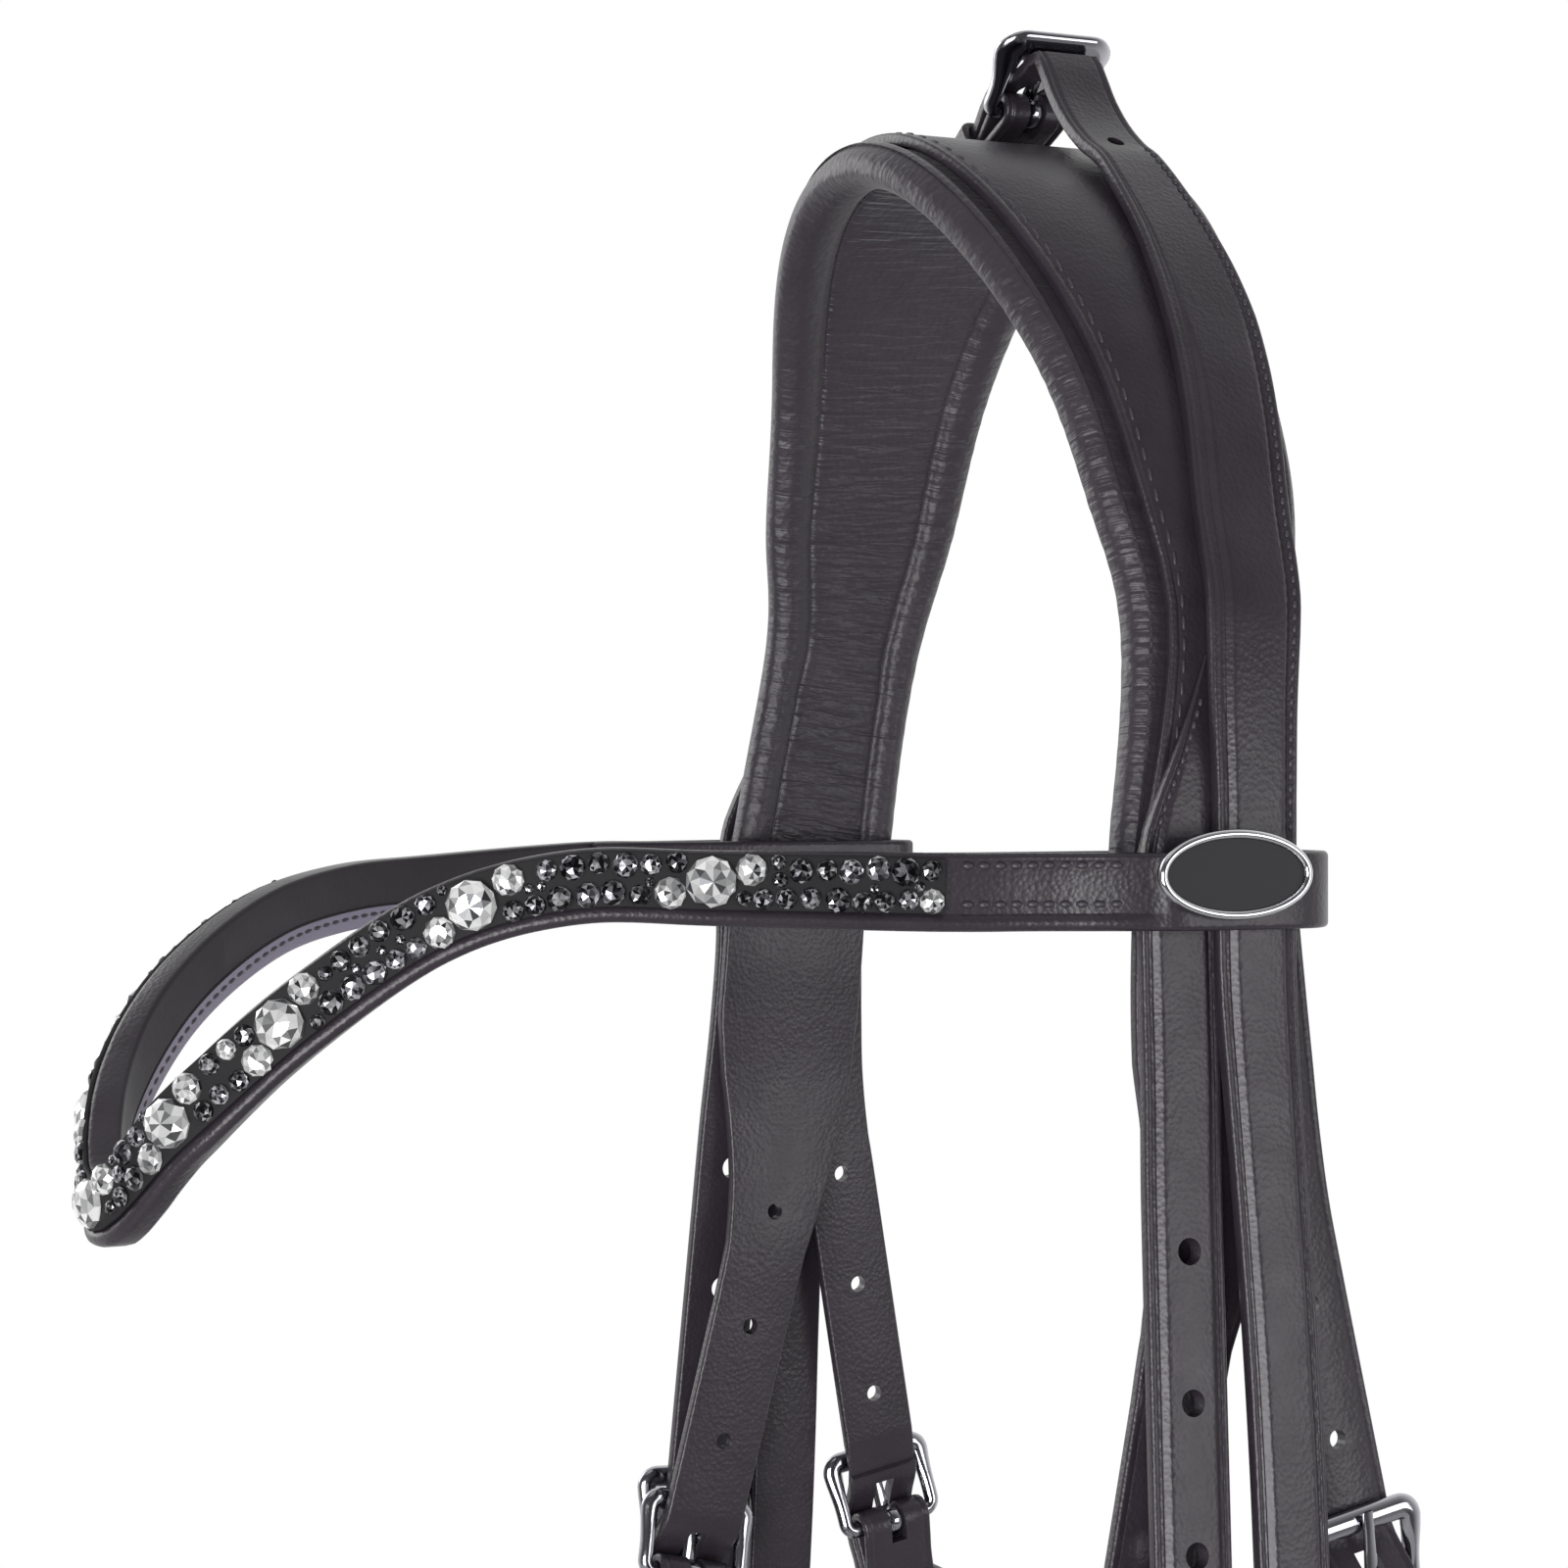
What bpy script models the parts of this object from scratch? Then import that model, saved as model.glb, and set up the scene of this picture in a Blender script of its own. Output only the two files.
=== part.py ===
"""Snaffle bridle: padded headpiece, over-poll carrier, crystal browband, cheekpieces, throatlatch, noseband.

+X is the horse's left (near) side, -Y is forward, +Z is up. The origin is under the crown of the poll pad.
Sizes are written in millimetres times MM. Near-side pieces are modelled once and mirrored to the far side.
"""

import math

import bmesh
import bpy
import numpy as np

MM = 0.001

# Shared fits
CLEAR = 0.3 * MM            # gap between touching pieces
LOOP_CLEAR = 1.1 * MM       # slack of the browband loops on the straps
EDGE = 0.45 * MM            # bevel of a cut leather edge

# Head shape that the straps follow
PAD_THICKNESS = 7 * MM
ARCH_HALF_SPAN = 68.5 * MM  # centre to strap at the browband
ARCH_RISE = 124 * MM        # browband up to the crown
LEG_FLARE = math.radians(6.5)
FLARE_RUN = 30 * MM         # length over which the legs turn outwards
LEG_LENGTH = 330 * MM

# Headpiece
CROWN_WIDTH = 58 * MM
SHOULDER_WIDTH = 44 * MM
WAIST_WIDTH = 31 * MM
LEG_WIDTH = 32.4 * MM
WAIST_SETBACK = 5.6 * MM    # middle of the waist behind the middle of the crown
WAIST_DEPTHS = (0, 34 * MM, 60 * MM, 84 * MM, 124 * MM)
CROWN_ROLL = 7 * MM         # pad edge that shows beside the leather
WAIST_ROLL = 5 * MM
LEG_ROLL = 2.2 * MM
ROLL_RISE = 0.8 * MM        # pad edge proud of the leather's back
PAD_END = 3 * MM            # pad end below the middle of the browband
LEATHER = 2.2 * MM
BILLET_ROOT_WIDTH = 29 * MM

# Straps
STRAP_WIDTH = 16 * MM
THROAT_WIDTH = 15 * MM
POLL_WIDTH = 12.6 * MM
CARRIER_WIDTH = 17.5 * MM
HANGER_WIDTH = 14 * MM
CARRIER_LEATHER = 2.4 * MM
PANEL_RISE = 0.8 * MM       # raised centre of the carrier and hanger straps
PANEL_SHARE = 0.56
LOWER_LEATHER = 1.6 * MM    # straps that fold round a buckle bar

# Buckles
BAR_RADIUS = 1.4 * MM
BUCKLE_LENGTH = 13 * MM     # heel bar to front bar
BUCKLE_SIDE_GAP = 0.6 * MM
CORNER_RADIUS = 2 * MM
TONGUE_THICKNESS = 1.0 * MM
TONGUE_WIDTH = 2.6 * MM
TONGUE_OVERHANG = 1.6 * MM
FOLD_RETURN = 22 * MM
TAIL_LENGTH = 46 * MM
KEEPER_WIDTH = 6 * MM
KEEPER_LEATHER = 1.4 * MM
KEEPER_DROP = 12 * MM       # heel bar to the fixed keeper
RUNNER_DROP = 33 * MM       # heel bar to the sliding keeper

# Punched holes
HOLE_COUNT = 3
SMALL_HOLE = 3 * MM
LARGE_HOLE = 4.2 * MM
SMALL_PITCH = 21.8 * MM
LARGE_PITCH = 23 * MM
USED_HOLE_DROP = 4 * MM     # hole in use, above the heel bar

# Drops below the browband, measured along the leg
CHEEK_DROP = 131 * MM
HANGER_DROP = 129 * MM
NEAR_THROAT_DROP = 112 * MM
FAR_THROAT_DROP = 126 * MM
NOSEBAND_DROP = 271 * MM
HANGER_Y = -8.2 * MM        # front hanger's middle at the browband
HANGER_LEAN = 5.3 * MM      # front hanger's buckle in front of its top
HANGER_FREE = 21 * MM       # last free point above the hanger's heel bar

# Cheekpiece and throatlatch
CHEEK_LENGTH = 200 * MM
BIT_EYE_RADIUS = 5.5 * MM
CHEEK_BOW = 0.3 * MM        # cheekpiece stands out below the billet's tail
BOW_START = 56 * MM
BOW_END = 68 * MM
STUD_DROP = 24 * MM
STUD_RADIUS = 1.6 * MM
STUD_HEAD_RADIUS = 3.1 * MM
THROAT_DEPTH = 190 * MM
THROAT_SWEEP = 62 * MM      # half width of the loop's round bottom
THROAT_DROPS = (-6 * MM, 50 * MM)       # billet's sewn top, and where it leans back
THROAT_OFFSETS = (6.6 * MM, 10.6 * MM)  # billet's middle there, behind the browband's middle
THROAT_FREE = (12 * MM, 60 * MM)        # between these drops it leaves the headpiece
THROAT_TOP_OUT = 2.6 * MM
THROAT_HEEL_OUT = -1.2 * MM
THROAT_SLANT = 0.2

# Noseband
NOSE_HEIGHT = 32 * MM
NOSE_SIDE_HEIGHT = 22 * MM
CHIN_HEIGHT = 16 * MM
NOSE_FRONT = 62 * MM
NOSE_REAR = 38 * MM
NOSE_SIDE_FRONT = 48 * MM
NOSE_SIDE_REAR = 62 * MM
CHIN_HEEL = 42 * MM
NOSE_PAD_THICKNESS = 6 * MM

# Browband
BROWBAND_HEIGHT = 12 * MM   # at the loops
ARM_HEIGHT = 11.2 * MM      # where the arms dip
BROWBAND_LEATHER = 2.4 * MM
ARM_THICKNESS = 5 * MM
INNER_CORNER = 4 * MM
OUTER_CORNER = 12 * MM      # rear outer corner of the loop
REAR_ROOM = 1 * MM          # behind the straps, where the pad leans back above the band
RETURN_RUN = 46 * MM        # sewn return of the loop, in front of the straps
ARM_X = 66 * MM             # arm's middle beside the return
BROW_FORWARD = 156 * MM     # browband tip in front of the straps
ARM_RISE = 1 * MM           # arms above the loops before they dip
BROW_DIP = 57 * MM          # drop of a sharp tip
DIP_RUN = 74 * MM           # length of each arm that dips
TIP_ROUND = 6 * MM          # rounds the tip
FAR_SAG = 4.2 * MM          # the far arm hangs lower in its middle
ARM_SHARES = ((0.848, 0.506), (0.727, 0.641), (0.591, 0.756), (0.432, 0.872), (0.258, 0.958))
CRYSTAL_STRIP_HEIGHT = 8.8 * MM
CRYSTAL_STRIP_LIFT = 0.8 * MM   # leaves the lower roll bare
CRYSTAL_STRIP_THICKNESS = 0.8 * MM
CRYSTAL_START = 45 * MM     # first stone in front of the straps
LARGE_STONE = 8.4 * MM
MID_STONE = 5.4 * MM
SMALL_STONE = 3.7 * MM
LARGE_STONE_STEP = 47 * MM
STONE_GAP = 0.25 * MM
STONE_SIDES = 6
BADGE_WIDTH = 26.4 * MM
BADGE_HEIGHT = 14.4 * MM
BADGE_THICKNESS = 1.6 * MM
BADGE_Y = -3.6 * MM
BADGE_LIFT = 2.6 * MM

# Carrier's middle behind the middle of the browband, at drops below it
CARRIER_DROPS = (-160 * MM, -100 * MM, -77 * MM, -50 * MM, -9 * MM, 110 * MM, 320 * MM)
CARRIER_OFFSETS = (12.5 * MM, 12.5 * MM, 11 * MM, 8 * MM, 4.4 * MM, 5 * MM, 5.6 * MM)

# Poll buckle, above the crown
POLL_HEEL = (-6.4 * MM, 12.5 * MM, 16.8 * MM)
POLL_SLOPE = math.radians(36)
POLL_TAIL = 20 * MM
POLL_RETURN = 7.5 * MM
POLL_KEEPER_DROP = 8.6 * MM

CROWN_Z = PAD_THICKNESS
BROW_Z = CROWN_Z - ARCH_RISE
LEATHER_MID = CLEAR + LEATHER / 2
SECOND_LAYER = LEATHER + 2 * CLEAR
BILLET_LEATHER = LEATHER
THIRD_LAYER = SECOND_LAYER + BILLET_LEATHER + CLEAR + PANEL_RISE * 0.2
CARRIER_END_LAYER = SECOND_LAYER + BILLET_LEATHER * 0.36
FOLD_RADIUS = BAR_RADIUS + CLEAR + LOWER_LEATHER / 2
FRONT_BAR_LIFT = BILLET_LEATHER / 2 + CLEAR + BAR_RADIUS
MAIN_LAYER = LOWER_LEATHER / 2
RETURN_LAYER = -LOWER_LEATHER / 2 - CLEAR
TAIL_LAYER = MAIN_LAYER + LOWER_LEATHER / 2 + CLEAR + BILLET_LEATHER / 2
OVER_FOLD = FOLD_RADIUS + LOWER_LEATHER / 2 + CLEAR + BILLET_LEATHER / 2
SIDEWAYS = np.array([0.0, 1.0, 0.0])


def make_material(name, colour, roughness, metallic=0.0):
    """Return a Principled material."""
    material = bpy.data.materials.new(name)
    material.use_nodes = True
    shader = material.node_tree.nodes["Principled BSDF"]
    shader.inputs["Base Color"].default_value = (*colour, 1.0)
    shader.inputs["Roughness"].default_value = roughness
    shader.inputs["Metallic"].default_value = metallic
    return material


def ease(at, keys, values):
    """Return a smooth curve through values at keys, level at each of them."""
    at = np.asarray(at, dtype=float)
    index = np.clip(np.searchsorted(keys, at, side="right") - 1, 0, len(keys) - 2)
    start = np.asarray(keys, dtype=float)[index]
    end = np.asarray(keys, dtype=float)[index + 1]
    share = np.clip((at - start) / (end - start), 0, 1)
    share = share * share * (3 - 2 * share)
    values = np.asarray(values, dtype=float)
    return values[index] + (values[index + 1] - values[index]) * share


def spline(points, spacing):
    """Return points about one spacing apart on a smooth curve through the given points."""
    points = np.asarray(points, dtype=float)
    padded = np.vstack([2 * points[0] - points[1], points, 2 * points[-1] - points[-2]])
    runs = []
    for before, start, end, after in zip(padded, padded[1:], padded[2:], padded[3:]):
        steps = max(1, round(float(np.linalg.norm(end - start)) / spacing))
        t = np.linspace(0, 1, steps, endpoint=False)[:, None]
        bend = (end - before) * t + (2 * before - 5 * start + 4 * end - after) * t ** 2
        runs.append(start + (bend + (3 * start - before - 3 * end + after) * t ** 3) / 2)
    return np.vstack(runs + [points[-1:]])


def smooth(at, keys, values):
    """Return a smooth curve that runs through values at keys."""
    line = spline(np.column_stack([keys, values]), 2 * MM)
    return np.interp(at, line[:, 0], line[:, 1])


def leg_table():
    """Return arc length, X and Z of the strap path, from the far end over the crown to the near end."""
    turn = np.linspace(0, math.pi / 2, 181)
    down = np.linspace(0, LEG_LENGTH, 181)[1:]
    lean = LEG_FLARE * ease(down, [0, FLARE_RUN], [0, 1])
    arch_x = ARCH_HALF_SPAN * np.sin(turn)
    arch_z = BROW_Z + ARCH_RISE * np.cos(turn)
    leg_x = arch_x[-1] + np.cumsum(np.sin(lean)) * down[0]
    leg_z = arch_z[-1] - np.cumsum(np.cos(lean)) * down[0]
    x = np.concatenate([arch_x, leg_x])
    z = np.concatenate([arch_z, leg_z])
    s = np.concatenate([[0], np.cumsum(np.hypot(np.diff(x), np.diff(z)))])
    brow = s[len(turn) - 1]
    return (np.concatenate([-s[:0:-1], s]), np.concatenate([-x[:0:-1], x]),
            np.concatenate([z[:0:-1], z]), brow)


LEG_S, LEG_X, LEG_Z, BROW_S = leg_table()


def leg_point(s, y, n):
    """Return points at arc length s from the crown, y behind the middle and n out from the strap path."""
    s, y, n = np.broadcast_arrays(np.asarray(s, dtype=float), y, n)
    reach = 1 * MM
    run_x = np.interp(s + reach, LEG_S, LEG_X) - np.interp(s - reach, LEG_S, LEG_X)
    run_z = np.interp(s + reach, LEG_S, LEG_Z) - np.interp(s - reach, LEG_S, LEG_Z)
    length = np.hypot(run_x, run_z)
    x = np.interp(s, LEG_S, LEG_X) - n * run_z / length
    z = np.interp(s, LEG_S, LEG_Z) + n * run_x / length
    return np.stack([x, y, z], axis=-1)


def unit(vectors):
    """Return vectors scaled to length one."""
    return vectors / np.linalg.norm(vectors, axis=-1, keepdims=True)


class Seat:
    """A buckle's place: heel bar centre, with axes down the strap, across it and out from the horse."""

    def __init__(self, heel, down, across):
        self.heel = np.asarray(heel, dtype=float)
        self.down = unit(np.asarray(down, dtype=float))
        across = np.asarray(across, dtype=float)
        self.across = unit(across - np.dot(across, self.down) * self.down)
        self.out = np.cross(self.down, self.across)

    def at(self, down, across, out):
        """Return points given along the seat's three axes."""
        down, across, out = np.broadcast_arrays(np.asarray(down, dtype=float), across, out)
        return (self.heel + down[..., None] * self.down + across[..., None] * self.across
                + out[..., None] * self.out)


def leg_seat(drop, y, n, up_drop, up_y, up_n):
    """Return the seat at the end of a strap that comes from an upper point, both below the browband."""
    heel = leg_point(BROW_S + drop, y, n)
    return Seat(heel, heel - leg_point(BROW_S + up_drop, up_y, up_n), SIDEWAYS)


def strap_axes(points, hint, closed=False):
    """Return each point's direction across the strap and out of its face."""
    if closed:
        points = np.vstack([points[-1:], points, points[:1]])
    runs = unit(np.diff(points, axis=0))
    if closed:
        along = unit(runs[:-1] + runs[1:])
    else:
        along = unit(np.vstack([runs[:1], runs[:-1] + runs[1:], runs[-1:]]))
    hint = np.broadcast_to(hint, along.shape)
    across = unit(hint - np.sum(hint * along, axis=1, keepdims=True) * along)
    return across, np.cross(along, across)


def flat_section(half_width, half_thickness):
    """Return the outline of a plain strap bevelled on its outer face, one row for each station."""
    w, h = half_width[:, None], half_thickness[:, None]
    edge = np.minimum(EDGE, h * 0.6)
    across = np.hstack([-w, -w, -w + edge, w - edge, w, w])
    out = np.hstack([-h, h - edge, h, h, h - edge, -h])
    return across, out


def square_section(half_width, half_thickness):
    """Return the outline of a narrow strip with square edges, one row for each station."""
    w, h = half_width[:, None], half_thickness[:, None]
    return np.hstack([-w, -w, w, w]), np.hstack([-h, h, h, -h])


def raised_section(half_width, half_thickness, rise):
    """Return the outline of a strap with a raised flat panel along its outer face."""
    w, h, up = half_width[:, None], half_thickness[:, None], rise[:, None]
    panel = w * PANEL_SHARE
    foot = panel + np.minimum(1.1 * MM, (w - panel) * 0.4)
    across = np.hstack([-w, -w, -w + EDGE, -foot, -panel, panel, foot, w - EDGE, w, w])
    out = np.hstack([-h, h - EDGE, h, h, h + up, h + up, h, h, h - EDGE, -h])
    return across, out


def pad_section(half_width, roll, depth, lift):
    """Return the pad's outline: flat back, soft channel and a thick roll along each edge."""
    w, r, d = half_width[:, None], roll[:, None], depth[:, None]
    one = np.ones_like(w)
    belly = d * 0.74
    across = np.hstack([-w + r * 0.9, -w + r * 0.55, -w + r * 0.12, -w, -w + r * 0.1, -w + r * 0.6,
                        -w + r * 1.15, -w + r * 1.6])
    across = np.hstack([across, -across[:, ::-1]])
    out = np.hstack([0 * one, lift[:, None] * one, -0.22 * d, -0.52 * d, -0.8 * d, -d,
                     -0.92 * d, -belly])
    return across, np.hstack([out, out[:, ::-1]])


def skin(rings, closed=False):
    """Return the vertices and faces of a surface through rings of points, with end caps if it is open."""
    count, size = rings.shape[:2]
    ring = np.arange(count if closed else count - 1)[:, None]
    spot = np.arange(size)[None, :]
    after = (ring + 1) % count
    beside = (spot + 1) % size
    quads = np.stack([ring * size + spot, after * size + spot, after * size + beside,
                      ring * size + beside], axis=-1)
    faces = quads.reshape(-1, 4).tolist()
    if not closed:
        faces.append(list(range(size)))
        faces.append(list(range((count - 1) * size, count * size)))
    return rings.reshape(-1, 3), faces


def add_object(name, vertices, faces, material, side=1, origin=(0, 0, 0), smooth=False):
    """Add a mesh object whose origin is at the given point; side -1 mirrors it to the far side."""
    mirror = np.array([side, 1.0, 1.0])
    origin = np.asarray(origin) * mirror
    mesh = bpy.data.meshes.new(name)
    mesh.from_pydata((vertices * mirror - origin).tolist(), [], faces)
    shape = bmesh.new()
    shape.from_mesh(mesh)
    bmesh.ops.recalc_face_normals(shape, faces=shape.faces)
    shape.to_mesh(mesh)
    shape.free()
    if smooth:
        mesh.shade_smooth()
    item = bpy.data.objects.new(name, mesh)
    item.location = origin
    if material:
        mesh.materials.append(material)
    bpy.context.scene.collection.objects.link(item)
    return item


def ribbon(name, points, hint, section, material, side=1):
    """Add a strap whose section is carried along points, with its width along hint."""
    across, out = strap_axes(points, hint)
    wide, high = section
    rings = points[:, None] + wide[..., None] * across[:, None] + high[..., None] * out[:, None]
    return add_object(name, *skin(rings), material, side)


def combine(item, tools, operation="DIFFERENCE"):
    """Cut closed shells out of an object, or fuse them to it, with one Boolean."""
    vertices = np.vstack([shell[0] for shell in tools])
    starts = np.cumsum([0] + [len(shell[0]) for shell in tools[:-1]])
    faces = [[start + index for index in face] for start, shell in zip(starts, tools) for face in shell[1]]
    tool = add_object(item.name + "_tool", vertices, faces, None)
    tool.hide_render = True
    tool.display_type = "WIRE"
    modifier = item.modifiers.new("shape", "BOOLEAN")
    modifier.operation = operation
    modifier.solver = "EXACT"
    modifier.object = tool


def peg(centre, axis, radius, reach, side=1, sides=10):
    """Return a round shell along an axis, for a punched hole."""
    centre, axis = np.asarray(centre), unit(np.asarray(axis, dtype=float))
    first = unit(np.cross(axis, SIDEWAYS + axis[::-1] * 0.3))
    second = np.cross(axis, first)
    turn = np.linspace(0, 2 * math.pi, sides, endpoint=False)[:, None]
    ring = radius * (np.cos(turn) * first + np.sin(turn) * second)
    vertices, faces = skin(np.stack([centre - axis * reach + ring, centre + axis * reach + ring]))
    return vertices * np.array([side, 1, 1]), faces


def tongue_slot(seat, start, end, half_width, low, high, side=1):
    """Return a box shell in a seat's axes, for the slot that a tongue passes through."""
    corners = np.array([[-1, -1], [1, -1], [1, 1], [-1, 1]], dtype=float)
    middle, half = (low + high) / 2, (high - low) / 2
    rings = [seat.at(down, corners[:, 0] * half_width, middle + corners[:, 1] * half)
             for down in (start, end)]
    vertices, faces = skin(np.stack(rings))
    return vertices * np.array([side, 1, 1]), faces


def buckle_frame(name, seat, width, material, side=1):
    """Add a rectangular frame: heel bar, two sides and a front bar raised over the strap."""
    half = width / 2 + BUCKLE_SIDE_GAP + BAR_RADIUS
    turn = np.linspace(0, math.pi / 2, 3)
    rise, fall = CORNER_RADIUS * (1 - np.cos(turn)), CORNER_RADIUS * (1 - np.sin(turn))
    down = np.concatenate([-rise, [-BUCKLE_LENGTH / 2], fall - BUCKLE_LENGTH])
    across = half - np.concatenate([fall, [0], rise])
    down = np.concatenate([down, down[::-1]])
    across = np.concatenate([across, -across[::-1]])
    lift = FRONT_BAR_LIFT * ease(-down, [0, BUCKLE_LENGTH], [0, 1])
    points = seat.at(down, across, lift)
    wide, out = strap_axes(points, seat.out, closed=True)
    turn = np.linspace(0, 2 * math.pi, 8, endpoint=False) + math.pi / 8
    rings = points[:, None] + BAR_RADIUS * (np.cos(turn)[None, :, None] * wide[:, None]
                                            + np.sin(turn)[None, :, None] * out[:, None])
    return add_object(name, *skin(rings, closed=True), material, side, smooth=True)


def tongue(name, seat, material, side=1):
    """Add a tongue: a strip rolled round the heel bar, running up to lie on the front bar."""
    radius = BAR_RADIUS + CLEAR + TONGUE_THICKNESS / 2
    turn = np.radians(np.linspace(165, 450, 13))
    rest = FRONT_BAR_LIFT + BAR_RADIUS + CLEAR + TONGUE_THICKNESS / 2
    tip = BUCKLE_LENGTH + TONGUE_OVERHANG
    shank = np.linspace(0.25, 1, 4)
    down = np.concatenate([radius * np.cos(turn), -tip * shank])
    out = np.concatenate([radius * np.sin(turn), radius + (rest - radius) * shank * tip / BUCKLE_LENGTH])
    points = seat.at(down, 0, out)
    across, up = strap_axes(points, seat.across)
    half = TONGUE_WIDTH / 2 * ease(np.arange(len(down)), [0, len(down) - 3, len(down) - 1], [1, 1, 0.6])
    wide, high = square_section(half, np.full(len(down), TONGUE_THICKNESS / 2))
    rings = points[:, None] + wide[..., None] * across[:, None] + high[..., None] * up[:, None]
    return add_object(name, *skin(rings), material, side, origin=seat.heel)


def keeper(name, seat, width, drop, material, side=1, low=None, high=None):
    """Add a leather loop round a folded strap and the billet tail that lies on it."""
    half = width / 2 + CLEAR + KEEPER_LEATHER / 2
    low = (RETURN_LAYER - LOWER_LEATHER / 2 if low is None else low) - CLEAR - KEEPER_LEATHER / 2
    high = (TAIL_LAYER + BILLET_LEATHER / 2 if high is None else high) + CLEAR + KEEPER_LEATHER / 2
    radius = KEEPER_LEATHER
    turn = np.linspace(0, math.pi / 2, 3)
    across, out = [], []
    for quarter, (side_sign, end) in enumerate([(1, high), (-1, high), (-1, low), (1, low)]):
        angle = turn + quarter * math.pi / 2
        across.append(side_sign * (half - radius) + radius * np.cos(angle))
        out.append(end + (radius if end == low else -radius) + radius * np.sin(angle))
    points = seat.at(drop + KEEPER_WIDTH / 2, np.concatenate(across), np.concatenate(out))
    along, face = strap_axes(points, seat.down, closed=True)
    count = len(points)
    wide, thick = square_section(np.full(count, KEEPER_WIDTH / 2), np.full(count, KEEPER_LEATHER / 2))
    rings = points[:, None] + wide[..., None] * along[:, None] + thick[..., None] * face[:, None]
    return add_object(name, *skin(rings, closed=True), material, side)


def fold_route(turn_back=FOLD_RETURN):
    """Return down and out positions of a strap that comes up inside, round the bar and down outside."""
    turn = np.radians(np.linspace(-90, 90, 9))
    start = [turn_back, 9 * MM] if turn_back > 9 * MM else [turn_back]
    down = np.concatenate([start, [4.5 * MM], -FOLD_RADIUS * np.cos(turn), [4.5 * MM, 9 * MM]])
    out = np.concatenate([[RETURN_LAYER] * len(start), [-1.75 * MM], FOLD_RADIUS * np.sin(turn),
                          [1.45 * MM, MAIN_LAYER]])
    return down, out


def billet_route(tail=TAIL_LENGTH):
    """Return down and out positions of a billet under the front bar, over the fold and along the strap."""
    down = np.array([-17, -12, -10.5, -8.5, -6.5, -4.5, -2.5, -0.6, 1.4, 4, 7, 10]) * MM
    out = ease(down, [-11 * MM, -0.6 * MM, 1.4 * MM, 9 * MM], [0, OVER_FOLD, OVER_FOLD, TAIL_LAYER])
    ends = np.concatenate([np.arange(15 * MM, tail - 6 * MM, 8 * MM), [tail - 4 * MM, tail]])
    return np.concatenate([down, ends]), np.concatenate([out, np.full(len(ends), TAIL_LAYER)])


def billet_hints(free, buckled, seat):
    """Return the width directions of a billet: level on the leg, then square to its buckle."""
    return np.vstack([np.tile(SIDEWAYS, (free, 1)), np.tile(seat.across, (buckled, 1))])


def tapered(count, width, taper=0.45):
    """Return half widths of a strap whose last two stations draw in to a blunt point."""
    half = np.full(count, width / 2)
    half[-1] *= taper
    return half


def billet_holes(seat, radius, pitch, side):
    """Return the shells of the spare holes above a buckle and of the slot for its tongue."""
    shells = [peg(seat.at(-USED_HOLE_DROP - pitch * (index + 1), 0, 0), seat.out, radius, 4 * MM, side)
              for index in range(HOLE_COUNT)]
    half = TONGUE_WIDTH / 2 + 2 * CLEAR
    shells.append(tongue_slot(seat, -8 * MM, -0.1 * MM, half, -2 * MM, 9 * MM, side))
    return shells


def fold_slot(seat, side=1):
    """Return the slot in a fold that lets the tongue turn on the bar."""
    reach = FOLD_RADIUS + LOWER_LEATHER
    return tongue_slot(seat, -reach, 3.6 * MM, TONGUE_WIDTH / 2 + CLEAR, -reach, reach, side)


def buckle_set(name, seat, width, materials, side, runner):
    """Add a buckle's frame, tongue and keepers."""
    buckle_frame(name + "_buckle", seat, width, materials["steel"], side)
    tongue(name + "_tongue", seat, materials["steel"], side)
    keeper(name + "_keeper", seat, width, KEEPER_DROP, materials["strap"], side)
    if runner:
        keeper(name + "_runner", seat, width, RUNNER_DROP, materials["strap"], side)


def cheek_seat():
    """Return the seat of the cheek buckle, on the plain billet that leans forward."""
    return leg_seat(CHEEK_DROP, -19.8 * MM, -7 * MM, CHEEK_DROP - 60 * MM, -6 * MM, -3.6 * MM)


def throat_seat(drop):
    """Return the seat of a throat buckle, on the billet that leans back."""
    top, y = THROAT_DROPS[1], THROAT_OFFSETS[1]
    return leg_seat(drop, y + THROAT_SLANT * (drop - top), THROAT_HEEL_OUT, top, y, THROAT_TOP_OUT)


def hanger_seat():
    """Return the seat of a noseband hanger's buckle."""
    n = SECOND_LAYER + BILLET_LEATHER / 2
    above = HANGER_DROP - 60 * MM
    return leg_seat(HANGER_DROP, HANGER_Y - HANGER_LEAN, n, above, HANGER_Y - HANGER_LEAN / 2, n)


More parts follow.
